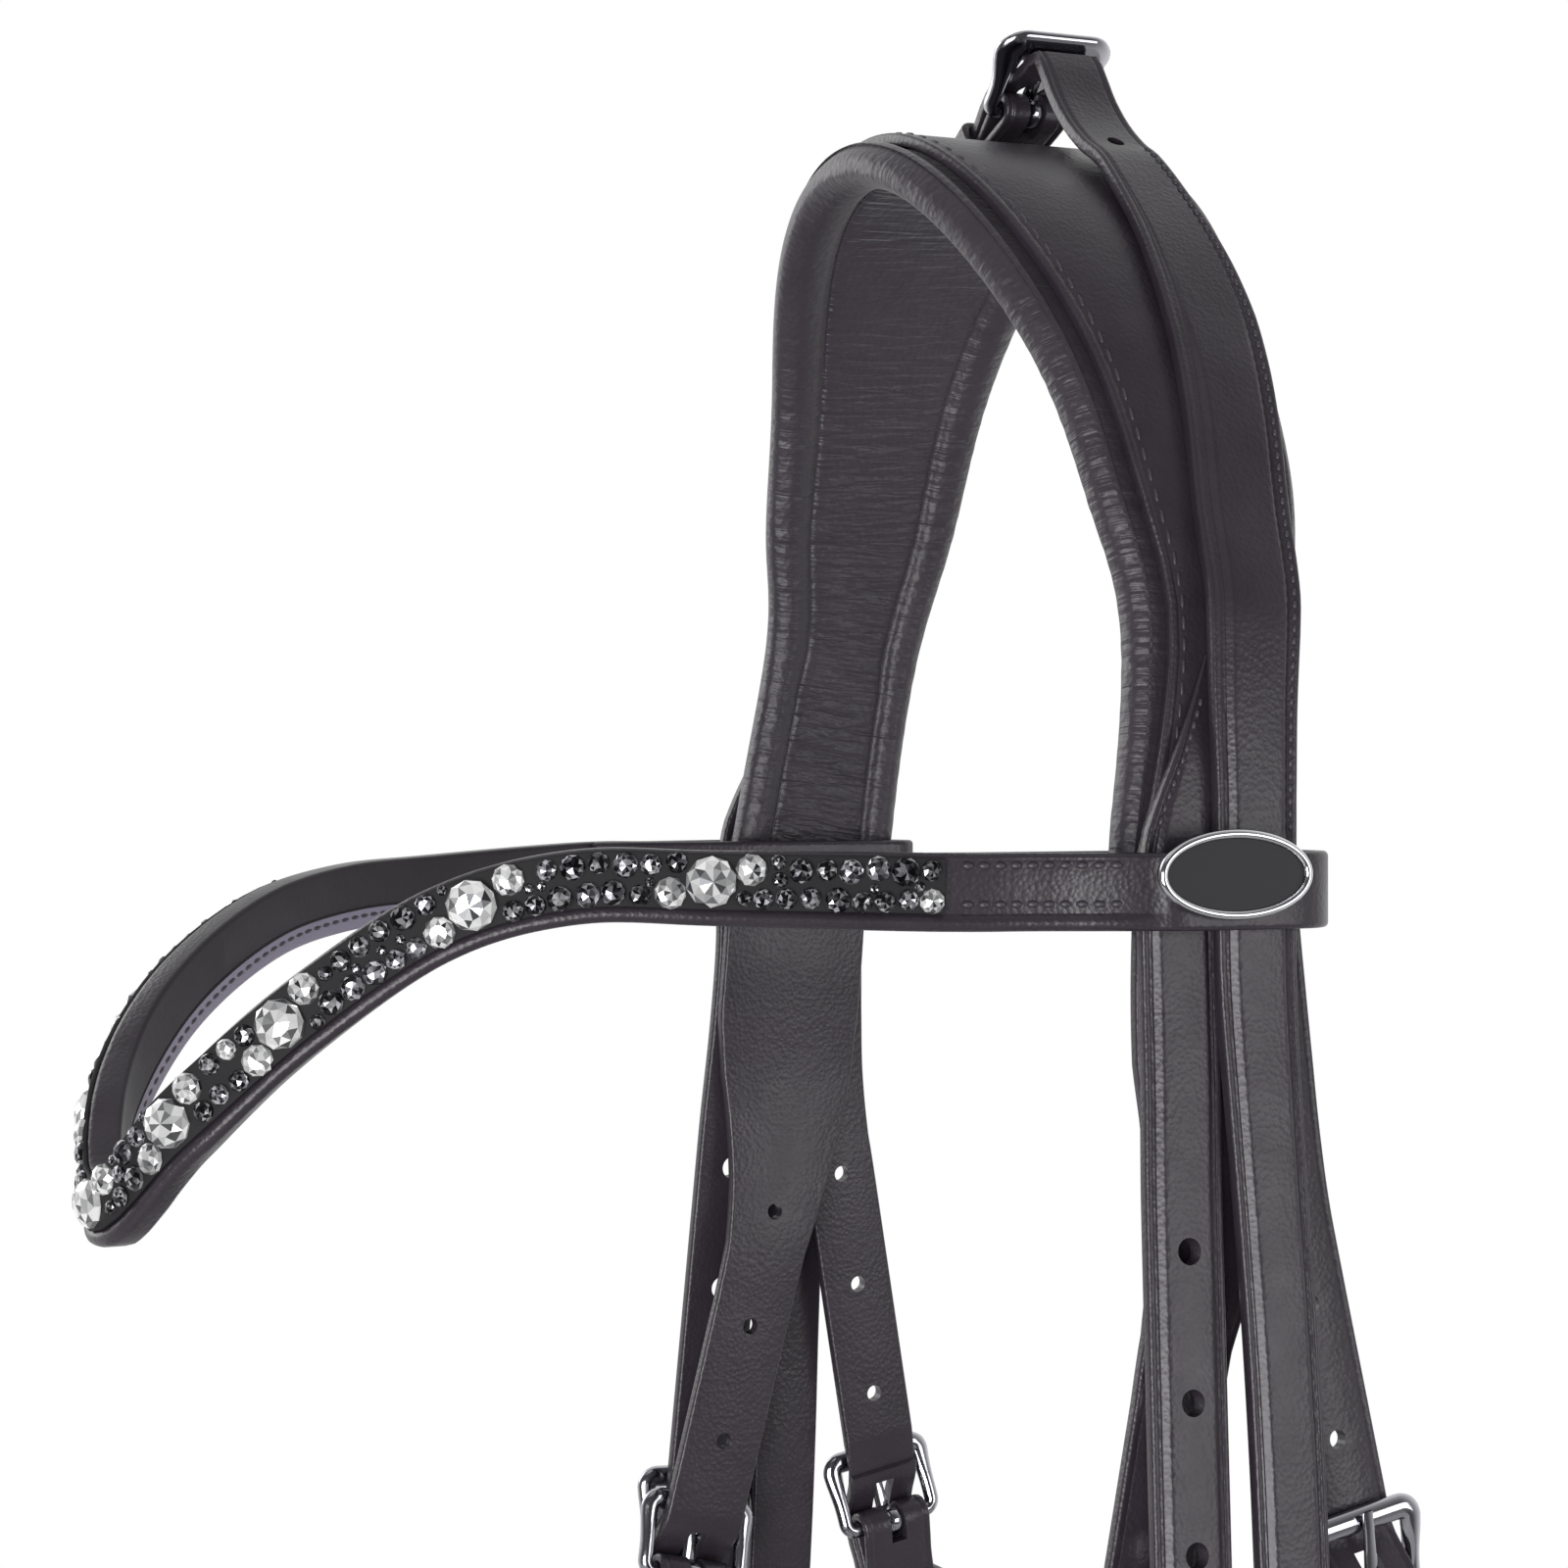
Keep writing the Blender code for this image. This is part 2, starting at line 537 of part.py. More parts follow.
def headpiece_leather(materials):
    """Add the crown strap with the two cheek billets that are cut in one with it."""
    seat = cheek_seat()
    s = np.concatenate([arch_stations()[1:], BROW_S + np.linspace(-4, 100, 11) * MM])
    drop = s - BROW_S
    y = ease(drop, [0, 30 * MM], [0, -1 * MM])
    line = -1 * MM + (drop - 30 * MM) * np.interp(drop, [30 * MM, 71 * MM], [0, -5 / 41])
    y = np.where(drop > 30 * MM, line, y)
    y = y + headpiece_centre(CROWN_Z - leg_point(s, 0, 0)[:, 2]) * (drop < 0)
    blend = ease(drop, [30 * MM, 71 * MM], [0, 1])
    target = seat.heel + (s - BROW_S - CHEEK_DROP)[:, None] * seat.down
    points = leg_point(s, y, LEATHER_MID)
    points = points * (1 - blend[:, None]) + target * blend[:, None]
    down, out = billet_route()
    points = np.vstack([points, seat.at(down, 0, out)])
    depth = CROWN_Z - points[:, 2]
    half = headpiece_half_width(depth) - pad_roll(depth)
    root = BILLET_ROOT_WIDTH / 2
    reach = np.concatenate([s, np.full(len(down), BROW_S + CHEEK_DROP)]) - BROW_S
    half = np.where(reach > -12 * MM, ease(reach, [-12 * MM, 4 * MM, 26 * MM, 74 * MM],
                                           [LEG_WIDTH / 2 - LEG_ROLL, root, root, STRAP_WIDTH / 2]), half)
    half[-1] *= 0.45
    mirrored = points[::-1] * np.array([-1, 1, 1])
    points = np.vstack([mirrored, leg_point(0, 0, LEATHER_MID)[None], points])
    half = np.concatenate([half[::-1], [CROWN_WIDTH / 2 - CROWN_ROLL], half])
    section = flat_section(half, np.full(len(half), LEATHER / 2))
    hints = billet_hints(len(s), len(down), seat)
    hints = np.vstack([hints[::-1] * np.array([-1, 1, 1]), SIDEWAYS[None], hints])
    item = ribbon("headpiece_leather", points, hints, section, materials["strap"])
    shells = []
    for side in (1, -1):
        shells += billet_holes(seat, SMALL_HOLE / 2, SMALL_PITCH, side)
    combine(item, shells)


def headpiece_half_width(depth):
    """Return half the pad's width at a depth below the crown: wide crown, drawn-in waist."""
    narrowing = 0.26 * SHOULDER_WIDTH + WAIST_WIDTH / 4
    widths = [CROWN_WIDTH / 2, SHOULDER_WIDTH / 2, narrowing, WAIST_WIDTH / 2, LEG_WIDTH / 2]
    return smooth(depth, WAIST_DEPTHS, widths)


def headpiece_centre(depth):
    """Return how far the middle of the headpiece lies behind the browband's middle."""
    return smooth(depth, WAIST_DEPTHS, [0, 0.73 * WAIST_SETBACK, WAIST_SETBACK, 0.85 * WAIST_SETBACK, 0])


def pad_roll(depth):
    """Return the width of the pad's edge roll at a depth below the crown."""
    return np.interp(depth, [0, WAIST_DEPTHS[3], ARCH_RISE], [CROWN_ROLL, WAIST_ROLL, LEG_ROLL])


def arch_stations():
    """Return arc lengths from the crown at which the pad and the leather have their sections."""
    return np.linspace(0, BROW_S - 12 * MM, 19)


def poll_pad(materials):
    """Add the padded lining under the crown."""
    end = BROW_S + PAD_END
    half = np.concatenate([arch_stations(), [BROW_S - 6 * MM, BROW_S, end]])
    s = np.concatenate([-half[:0:-1], half])
    depth = CROWN_Z - leg_point(s, 0, 0)[:, 2]
    points = leg_point(s, headpiece_centre(depth), 0)
    near_end = np.clip((end - np.abs(s)) / (14 * MM), 0, 1)
    fullness = 0.62 + 0.38 * near_end * (2 - near_end)
    roll = pad_roll(depth)
    section = pad_section(headpiece_half_width(depth), np.maximum(roll, 4.6 * MM), PAD_THICKNESS * fullness,
                          ROLL_RISE * np.clip((roll - 4.6 * MM) / (CROWN_ROLL - 4.6 * MM), 0, 1))
    ribbon("poll_pad", points, SIDEWAYS, section, materials["lining"]).data.shade_smooth()


def throat_billets(materials):
    """Add the plain billets for the throatlatch, sewn on the headpiece inside the browband loops."""
    for name, side, drop in (("near", 1, NEAR_THROAT_DROP), ("far", -1, FAR_THROAT_DROP)):
        seat = throat_seat(drop)
        run = np.linspace(THROAT_DROPS[0], THROAT_FREE[1], 7)
        y = ease(run, THROAT_DROPS, THROAT_OFFSETS)
        points = leg_point(BROW_S + run, y, SECOND_LAYER + BILLET_LEATHER / 2)
        straight = seat.heel + (run - drop)[:, None] * seat.down
        blend = ease(run, THROAT_FREE, [0, 1])[:, None]
        points = points * (1 - blend) + straight * blend
        down, out = billet_route()
        points = np.vstack([points, seat.at(down, 0, out)])
        count = len(points)
        section = flat_section(tapered(count, THROAT_WIDTH - 0.6 * MM), np.full(count, BILLET_LEATHER / 2))
        hints = billet_hints(len(run), len(down), seat)
        item = ribbon(name + "_throat_billet", points, hints, section, materials["strap"], side)
        combine(item, billet_holes(seat, SMALL_HOLE / 2, SMALL_PITCH, side))
        buckle_set(name + "_throat", seat, THROAT_WIDTH, materials, side, runner=False)


def throatlatch(materials):
    """Add the throat strap: folded round both throat buckles and hanging in a loop between them."""
    near, far = throat_seat(NEAR_THROAT_DROP), throat_seat(FAR_THROAT_DROP)
    down, out = fold_route()
    ends = []
    for seat, flip in ((near, 1), (far, -1)):
        ends.append(seat.at(down, 0, out) * np.array([flip, 1, 1]))
    lean = near.down[1] / -near.down[2]
    middle = (near.heel + far.heel) / 2
    low = np.array([0, middle[1] + lean * THROAT_DEPTH, middle[2] - THROAT_DEPTH])
    loop = []
    for seat, end, flip in ((near, ends[0], 1), (far, ends[1], -1)):
        t = np.linspace(0, 1, 15)[1:, None]
        start = end[-1]
        heading = seat.down * np.array([flip, 1, 1])
        first = start + heading * THROAT_DEPTH / 2
        second = low + np.array([flip * THROAT_SWEEP, 0, 0])
        loop.append((1 - t) ** 3 * start + 3 * (1 - t) ** 2 * t * first + 3 * (1 - t) * t ** 2 * second
                    + t ** 3 * low)
    points = np.vstack([ends[0], loop[0], loop[1][-2::-1], ends[1][::-1]])
    count = len(points)
    section = flat_section(np.full(count, THROAT_WIDTH / 2 - 0.4 * MM), np.full(count, LOWER_LEATHER / 2))
    half = len(ends[0]) + len(loop[0])
    hints = np.vstack([np.tile(near.across, (half, 1)),
                       np.tile(far.across * np.array([-1, 1, 1]), (count - half, 1))])
    item = ribbon("throatlatch", points, hints, section, materials["strap"])
    combine(item, [fold_slot(near), fold_slot(far, -1)])


def cheekpieces(materials):
    """Add the cheekpieces with their buckles, bit loops and hook studs."""
    seat = cheek_seat()
    down, out = fold_route()
    end = CHEEK_LENGTH
    eye = BIT_EYE_RADIUS + LOWER_LEATHER / 2
    turn = np.radians(np.linspace(90, -90, 13))
    middle = (MAIN_LAYER + RETURN_LAYER) / 2
    straight = np.concatenate([[30 * MM, BOW_START], np.linspace(BOW_END, end - 2.6 * eye, 5)])
    level = MAIN_LAYER + CHEEK_BOW * (straight >= BOW_END)
    down = np.concatenate([down, straight, end + eye * np.cos(turn), [end - 2.6 * eye, end - 6.5 * eye]])
    out = np.concatenate([out, level, middle + eye * np.sin(turn), [RETURN_LAYER, RETURN_LAYER]])
    points = seat.at(down, 0, out)
    count = len(points)
    for name, side in (("near", 1), ("far", -1)):
        section = flat_section(np.full(count, STRAP_WIDTH / 2 - 0.4 * MM), np.full(count, LOWER_LEATHER / 2))
        item = ribbon(name + "_cheekpiece", points, seat.across, section, materials["strap"], side)
        stud = seat.at(end - STUD_DROP, 0, RETURN_LAYER)
        hole = peg(stud, seat.out, STUD_RADIUS + CLEAR, LOWER_LEATHER / 2 + CLEAR * 0.7, side)
        combine(item, [fold_slot(seat, side), hole])
        buckle_set(name + "_cheek", seat, STRAP_WIDTH, materials, side, runner=True)
        bit_stud(name + "_bit_stud", seat, end - STUD_DROP, materials["steel"], side)


def bit_stud(name, seat, drop, material, side):
    """Add a hook stud: a post through the return of the bit loop, with a domed head."""
    top = RETURN_LAYER - LOWER_LEATHER / 2
    heights = np.array([RETURN_LAYER + LOWER_LEATHER / 2, top - CLEAR, top - CLEAR, top - 1.1 * MM,
                        top - 1.8 * MM])
    radii = np.array([STUD_RADIUS, STUD_RADIUS, STUD_HEAD_RADIUS, STUD_HEAD_RADIUS, STUD_HEAD_RADIUS * 0.55])
    turn = np.linspace(0, 2 * math.pi, 12, endpoint=False)
    rings = np.stack([seat.at(drop + radius * np.cos(turn), radius * np.sin(turn), height)
                      for radius, height in zip(radii, heights)])
    add_object(name, *skin(rings), material, side)


def carrier_leg(s):
    """Return the carrier's offset behind the middle and its height over the strap path, along the leg."""
    drop = s - BROW_S
    y = smooth(drop, CARRIER_DROPS, CARRIER_OFFSETS)
    half = CARRIER_LEATHER / 2
    n = ease(drop, [-64 * MM, -40 * MM, 70 * MM, 130 * MM],
             [SECOND_LAYER, THIRD_LAYER, THIRD_LAYER, CARRIER_END_LAYER]) + half
    return y, n


def carrier_half_width(s):
    """Return half the carrier's width: narrow over the poll, widest on the leg."""
    drop = s - BROW_S
    return ease(drop, [-BROW_S + 22 * MM, -BROW_S + 66 * MM, -60 * MM, -8 * MM, 60 * MM],
                [POLL_WIDTH / 2, CARRIER_WIDTH / 2, CARRIER_WIDTH / 2, 7.4 * MM, 6.5 * MM])


def poll_seat():
    """Return the seat of the poll buckle: heel bar on the far side, front bar at the top."""
    down = (-math.cos(POLL_SLOPE), 0, -math.sin(POLL_SLOPE))
    return Seat(POLL_HEEL, down, -SIDEWAYS)


def carriers(materials):
    """Add the carrier straps, joined over the poll by their own buckle."""
    seat = poll_seat()
    end = BROW_S + NOSEBAND_DROP + 11 * MM
    rising = BROW_S + np.linspace(-64, -40, 5) * MM
    falling = BROW_S + np.array([-28, -14, 0, 16, 32, 50, 70, 90, 110, 130]) * MM
    s = np.concatenate([np.linspace(40 * MM, BROW_S - 74 * MM, 5), rising, falling,
                        np.linspace(BROW_S + 160 * MM, end, 6)])
    y, n = carrier_leg(s)
    leg = leg_point(s, y, n)
    half = carrier_half_width(s)
    rise = PANEL_RISE * ease(s, [56 * MM, 76 * MM], [0, 1])
    down, out = billet_route(POLL_TAIL)
    over = np.array([[6, 24.1], [8.4, 20.8], [11.6, 15.9], [16, 11], [21, 7], [27, 3.2]]) * MM
    over = np.insert(over, 1, POLL_HEEL[1], axis=1)
    start = seat.at(down, 0, out)[::-1][:-1]
    near = np.vstack([start, over, leg])
    lead = len(near) - len(leg)
    half_lead = np.full(lead, POLL_WIDTH / 2)
    half_lead[0] *= 0.5
    near_half = np.concatenate([half_lead, half])
    thick = np.concatenate([np.full(len(start), BILLET_LEATHER / 2),
                            np.full(len(near) - len(start), CARRIER_LEATHER / 2)])
    section = raised_section(near_half, thick, np.concatenate([np.zeros(lead), rise]))
    item = ribbon("near_carrier", near, SIDEWAYS, section, materials["strap"])
    spare = near[len(start) + 4]
    slot = tongue_slot(seat, -8 * MM, -0.1 * MM, TONGUE_WIDTH / 2 + 2 * CLEAR, -2 * MM, 9 * MM)
    combine(item, [slot, peg(spare, (0.75, 0, 0.66), SMALL_HOLE / 2, 3 * MM)])

    down, out = fold_route(POLL_RETURN)
    fold = seat.at(np.append(down, 16 * MM), 0, np.append(out, MAIN_LAYER))
    s = np.concatenate([[32 * MM], s])
    y, n = carrier_leg(s)
    far = np.vstack([fold, leg_point(s, y, n) * np.array([-1, 1, 1])])
    far_half = np.concatenate([np.full(len(fold), POLL_WIDTH / 2), carrier_half_width(s)])
    ramp = np.clip(np.arange(len(far)) - len(fold) + 1, 0, 4) / 4
    thick = LOWER_LEATHER / 2 + (CARRIER_LEATHER - LOWER_LEATHER) / 2 * ramp
    rise = PANEL_RISE * ease(s, [56 * MM, 76 * MM], [0, 1])
    section = raised_section(far_half, thick, np.concatenate([np.zeros(len(fold)), rise]))
    item = ribbon("far_carrier", far, -SIDEWAYS, section, materials["strap"])
    combine(item, [fold_slot(seat)])
    buckle_frame("poll_buckle", seat, POLL_WIDTH, materials["steel"])
    tongue("poll_tongue", seat, materials["steel"])
    keeper("poll_keeper", seat, POLL_WIDTH, POLL_KEEPER_DROP, materials["strap"], low=0)


def front_hangers(materials):
    """Add the raised front hangers, their buckles and the straps that go on to the noseband."""
    for name, side in (("near", 1), ("far", -1)):
        seat = hanger_seat()
        top = np.array([-36, -30, -24, -18, -10, 0]) * MM
        run = np.concatenate([top, np.linspace(14 * MM, HANGER_DROP - HANGER_FREE, 7)])
        y = ease(run, [-36 * MM, -8 * MM], [0.5 * MM, HANGER_Y])
        straight = seat.heel + (run - HANGER_DROP)[:, None] * seat.down
        blend = ease(run, [0, 50 * MM], [0, 1])[:, None]
        points = leg_point(BROW_S + run, y, SECOND_LAYER + BILLET_LEATHER / 2)
        points = points * (1 - blend) + straight * blend
        down, out = billet_route()
        points = np.vstack([points, seat.at(down, 0, out)])
        count = len(points)
        half = tapered(count, HANGER_WIDTH)
        half[:4] = np.array([4, 5, 6, 7]) * MM
        rise = np.where(np.arange(count) < len(run) + 1, PANEL_RISE, 0)
        rise[:6] = np.array([0, 0, 0, 0.3, 0.5, 0.8]) * PANEL_RISE
        section = raised_section(half, np.full(count, BILLET_LEATHER / 2), rise)
        hints = billet_hints(len(run), len(down), seat)
        item = ribbon(name + "_front_hanger", points, hints, section, materials["strap"], side)
        combine(item, billet_holes(seat, LARGE_HOLE / 2, LARGE_PITCH, side))
        noseband_cheek(name, seat, materials, side)
        buckle_set(name + "_hanger", seat, STRAP_WIDTH, materials, side, runner=True)


def noseband_cheek(name, seat, materials, side):
    """Add the strap from a hanger's buckle down to the noseband."""
    down, out = fold_route()
    last = NOSEBAND_DROP - HANGER_DROP + 11 * MM
    points = seat.at(np.concatenate([down, np.linspace(30 * MM, last, 6)]), 0,
                     np.concatenate([out, np.full(6, MAIN_LAYER)]))
    count = len(points)
    section = flat_section(np.full(count, STRAP_WIDTH / 2 - 0.4 * MM), np.full(count, LOWER_LEATHER / 2))
    item = ribbon(name + "_noseband_cheek", points, seat.across, section, materials["strap"], side)
    combine(item, [fold_slot(seat, side)])


def on_track(place, length, track):
    """Return plan points at places along a track whose points have these lengths."""
    return np.stack([np.interp(place, length, track[:, 0]), np.interp(place, length, track[:, 1])], axis=1)


def ring_route(start, end, spacing):
    """Return plan points round the noseband from one signed place to another.

    The place is measured on a track: near side rearward, round the chin, far side forward, round the nose.
    """
    half = leg_point(BROW_S + NOSEBAND_DROP, 0, 0)[0]
    turn = np.linspace(0, math.pi, 40)
    near = np.array([[half, -NOSE_SIDE_FRONT], [half, NOSE_SIDE_REAR]])
    rear = np.stack([half * np.cos(turn), NOSE_SIDE_REAR + NOSE_REAR * np.sin(turn)], axis=1)
    front = np.stack([-half * np.cos(turn), -NOSE_SIDE_FRONT - NOSE_FRONT * np.sin(turn)], axis=1)
    track = np.vstack([near[:1], rear, front])
    length = np.concatenate([[0], np.cumsum(np.linalg.norm(np.diff(track, axis=0), axis=1))])
    place = np.arange(start, end, spacing)
    place = np.append(place, end)
    wrapped = np.mod(place, length[-1])
    plan = on_track(wrapped, length, track)
    ahead = np.mod(place + 0.5 * MM, length[-1])
    behind = np.mod(place - 0.5 * MM, length[-1])
    heading = unit(on_track(ahead, length, track) - on_track(behind, length, track))
    outward = np.stack([heading[:, 1], -heading[:, 0]], axis=1)
    return plan, outward, length[-1], place


def ring_points(start, end, spacing, n):
    """Return points and width directions round the noseband, n out from the strap path."""
    plan, outward, length, place = ring_route(start, end, spacing)
    level = leg_point(BROW_S + NOSEBAND_DROP, 0, 0)[2]
    n = np.broadcast_to(n, len(plan))
    points = np.stack([plan[:, 0] + n * outward[:, 0] * math.cos(LEG_FLARE),
                       plan[:, 1] + n * outward[:, 1] * math.cos(LEG_FLARE),
                       level + n * math.sin(LEG_FLARE)], axis=1)
    hint = np.stack([-outward[:, 0] * math.sin(LEG_FLARE), -outward[:, 1] * math.sin(LEG_FLARE),
                     np.full(len(plan), math.cos(LEG_FLARE))], axis=1)
    return points, hint, length, place


def noseband(materials):
    """Add the noseband: one strap round nose and chin with a buckle on the near side, and its nose pad."""
    band_n = CARRIER_END_LAYER - CLEAR - LOWER_LEATHER / 2
    heel_n = band_n - MAIN_LAYER
    _, _, length, _ = ring_points(0, 1 * MM, 1 * MM, 0)
    heel_place = NOSE_SIDE_FRONT + CHIN_HEEL
    heel, hint, _, _ = ring_points(heel_place, heel_place + 1 * MM, 1 * MM, heel_n)
    seat = Seat(heel[0], heel[0] - heel[1], -hint[0])
    down, out = billet_route(24 * MM)
    tail = seat.at(down, 0, out)[::-1]
    last = heel_place + length - 15 * MM
    body, body_hint, _, place = ring_points(heel_place + 22 * MM, last, 9 * MM, heel_n)
    offset = ease(place, [heel_place + 60 * MM, heel_place + 120 * MM], [0, band_n - heel_n])
    body = body + offset[:, None] * np.cross(unit(np.gradient(body, axis=0)), body_hint)
    fold_down, fold_out = fold_route(14 * MM)
    fold = seat.at(fold_down, 0, fold_out)[::-1]
    points = np.vstack([tail, body, fold])
    hints = np.vstack([np.tile(hint[0], (len(tail), 1)), body_hint, np.tile(hint[0], (len(fold), 1))])
    middle = length - nose_arc() / 2
    reach = np.abs(place - middle)
    height = ease(reach, [0, 60 * MM, nose_arc() / 2 + 14 * MM, nose_arc() / 2 + 60 * MM],
                  [NOSE_HEIGHT, NOSE_HEIGHT * 0.94, NOSE_SIDE_HEIGHT, CHIN_HEIGHT])
    half = np.concatenate([np.full(len(tail), CHIN_HEIGHT / 2), height / 2,
                           np.full(len(fold), CHIN_HEIGHT / 2 - 0.4 * MM)])
    half[0] *= 0.5
    thick = np.concatenate([np.full(len(tail), BILLET_LEATHER / 2), np.full(len(body), LOWER_LEATHER / 2),
                            np.full(len(fold), LOWER_LEATHER / 2)])
    item = ribbon("noseband_band", points, hints, flat_section(half, thick), materials["strap"])
    reach = FOLD_RADIUS + LOWER_LEATHER
    combine(item, [tongue_slot(seat, -8 * MM, 3.6 * MM, TONGUE_WIDTH / 2 + CLEAR, -reach, 9 * MM)])
    buckle_frame("chin_buckle", seat, CHIN_HEIGHT, materials["steel"])
    tongue("chin_tongue", seat, materials["steel"])
    keeper("chin_keeper", seat, CHIN_HEIGHT, 10 * MM, materials["strap"])

    pad_face = band_n - LOWER_LEATHER / 2 - CLEAR
    reach = nose_arc() / 2 + 20 * MM
    points, hint, _, place = ring_points(middle - reach, middle + reach, 11 * MM, pad_face)
    ends = np.clip((reach - np.abs(place - middle)) / (24 * MM), 0, 1)
    half = ease(np.abs(place - middle), [0, 60 * MM, reach], [NOSE_HEIGHT / 2 + 3 * MM] * 2
                + [NOSE_SIDE_HEIGHT / 2])
    section = pad_section(half, np.full(len(half), 5 * MM), NOSE_PAD_THICKNESS * (0.5 + 0.5 * ends),
                          np.zeros(len(half)))
    ribbon("noseband_pad", points, hint, section, materials["lining"]).data.shade_smooth()


def nose_arc():
    """Return the length of the noseband's front half, across the nose."""
    half = leg_point(BROW_S + NOSEBAND_DROP, 0, 0)[0]
    turn = np.linspace(0, math.pi, 200)
    return float(np.sum(np.hypot(np.diff(half * np.cos(turn)), np.diff(NOSE_FRONT * np.sin(turn)))))


def arm_share(y):
    """Return 0 at the sewn returns and 1 where the arms have taken their own height."""
    return ease(-np.asarray(y), [RETURN_RUN, 2 * RETURN_RUN], [0, 1])


def browband_route():
    """Return the near half of the browband's centre line, from its sewn return to the tip."""
    inner = ARCH_HALF_SPAN - PAD_THICKNESS - LOOP_CLEAR - BROWBAND_LEATHER / 2
    outer = (ARCH_HALF_SPAN + THIRD_LAYER + CARRIER_LEATHER + PANEL_RISE + LOOP_CLEAR
             + BROWBAND_LEATHER / 2)
    rear = LEG_WIDTH / 2 + LOOP_CLEAR + REAR_ROOM + BROWBAND_LEATHER / 2
    r = INNER_CORNER
    back = ARM_X - ARM_THICKNESS / 2 - CLEAR - BROWBAND_LEATHER / 2
    turn = np.radians([15, 45, 75])
    corner_in = np.stack([inner + r - r * np.cos(turn), rear - r + r * np.sin(turn)], axis=1)
    r = OUTER_CORNER
    corner_out = np.stack([outer - r + r * np.sin(turn), rear - r + r * np.cos(turn)], axis=1)
    sewn = np.array([[back - 0.9 * MM, -RETURN_RUN], [back - 0.2 * MM, -0.83 * RETURN_RUN],
                     [inner + 1 * MM, -0.52 * RETURN_RUN], [inner, -0.3 * RETURN_RUN], [inner, 0]])
    front = np.array([[outer, 0], [outer, -0.26 * RETURN_RUN], [outer - 3.5 * MM, -0.435 * RETURN_RUN],
                      [ARM_X + 3 * MM, -0.7 * RETURN_RUN], [ARM_X - 1.8 * MM, -RETURN_RUN]])
    arms = np.array([*ARM_SHARES, (0, 1)]) * np.array([ARM_X, -BROW_FORWARD])
    loop = np.vstack([sewn, corner_in, corner_out, front[:2]])
    plan = np.vstack([loop, front[2:], arms])
    run = np.append(np.cumsum(np.linalg.norm(np.diff(plan, axis=0), axis=1)[::-1])[::-1], 0)
    dip = BROW_DIP * np.clip(1 - np.hypot(run, TIP_ROUND) / DIP_RUN, 0, 1) ** 1.55
    level = BROW_Z - dip + ARM_RISE * arm_share(plan[:, 1])
    return np.column_stack([plan, level]), len(loop)


def browband_line():
    """Return the whole browband's centre line, the half thickness along it and the loop's point count."""
    points, loop = browband_route()
    mirror = np.array([-1, 1, 1])
    arms = points[loop - 1:]
    far = arms[-2::-1] * mirror
    far[:, 2] -= FAR_SAG * ease(-far[:, 1], np.array([0.3, 0.68, 0.9]) * BROW_FORWARD, [0, 1, 0])
    arms = spline(np.vstack([arms, far]), 4.5 * MM)[1:-1]
    count = np.arange(len(arms))
    share = np.clip(np.minimum(count, count[::-1]) / 4, 0, 1)
    thin = np.full(loop, BROWBAND_LEATHER / 2)
    half = BROWBAND_LEATHER / 2 + (ARM_THICKNESS - BROWBAND_LEATHER) / 2 * share
    line = np.vstack([points[:loop], arms, points[loop - 1::-1] * mirror])
    return line, np.concatenate([thin, half, thin]), loop


def browband(materials):
    """Add the browband, its crystal strip and the bare badge on the near loop."""
    points, half, loop = browband_line()
    level = points * np.array([1, 1, 0])
    across, out = strap_axes(level, np.array([0, 0, -1.0]))
    stretch = (np.linalg.norm(np.gradient(points, axis=0), axis=1)
               / np.linalg.norm(np.gradient(level, axis=0), axis=1))
    height = BROWBAND_HEIGHT + (ARM_HEIGHT - BROWBAND_HEIGHT) * arm_share(points[:, 1])
    wide, high = flat_section(height / 2 * stretch, half)
    rings = points[:, None] + wide[..., None] * across[:, None] + high[..., None] * out[:, None]
    add_object("browband", *skin(rings), materials["strap"])

    keep = -points[:, 1] > CRYSTAL_START
    keep[:loop] = False
    keep[len(points) - loop:] = False
    across, out, stretch = across[keep], out[keep], stretch[keep]
    strip = points[keep] + out * (ARM_THICKNESS / 2 + CLEAR + CRYSTAL_STRIP_THICKNESS / 2)
    strip = strip - across * (CRYSTAL_STRIP_LIFT * stretch)[:, None]
    thick = np.full(len(strip), CRYSTAL_STRIP_THICKNESS / 2)
    wide, high = flat_section(CRYSTAL_STRIP_HEIGHT / 2 * stretch, thick)
    rings = strip[:, None] + wide[..., None] * across[:, None] + high[..., None] * out[:, None]
    item = add_object("crystal_strip", *skin(rings), materials["crystal"])
    place = np.concatenate([[0], np.cumsum(np.linalg.norm(np.diff(strip, axis=0), axis=1))])
    shells = [stone(strip, out, place, *spot) for spot in stone_layout(place[-1])]
    combine(item, shells, "UNION")
    badge(materials)


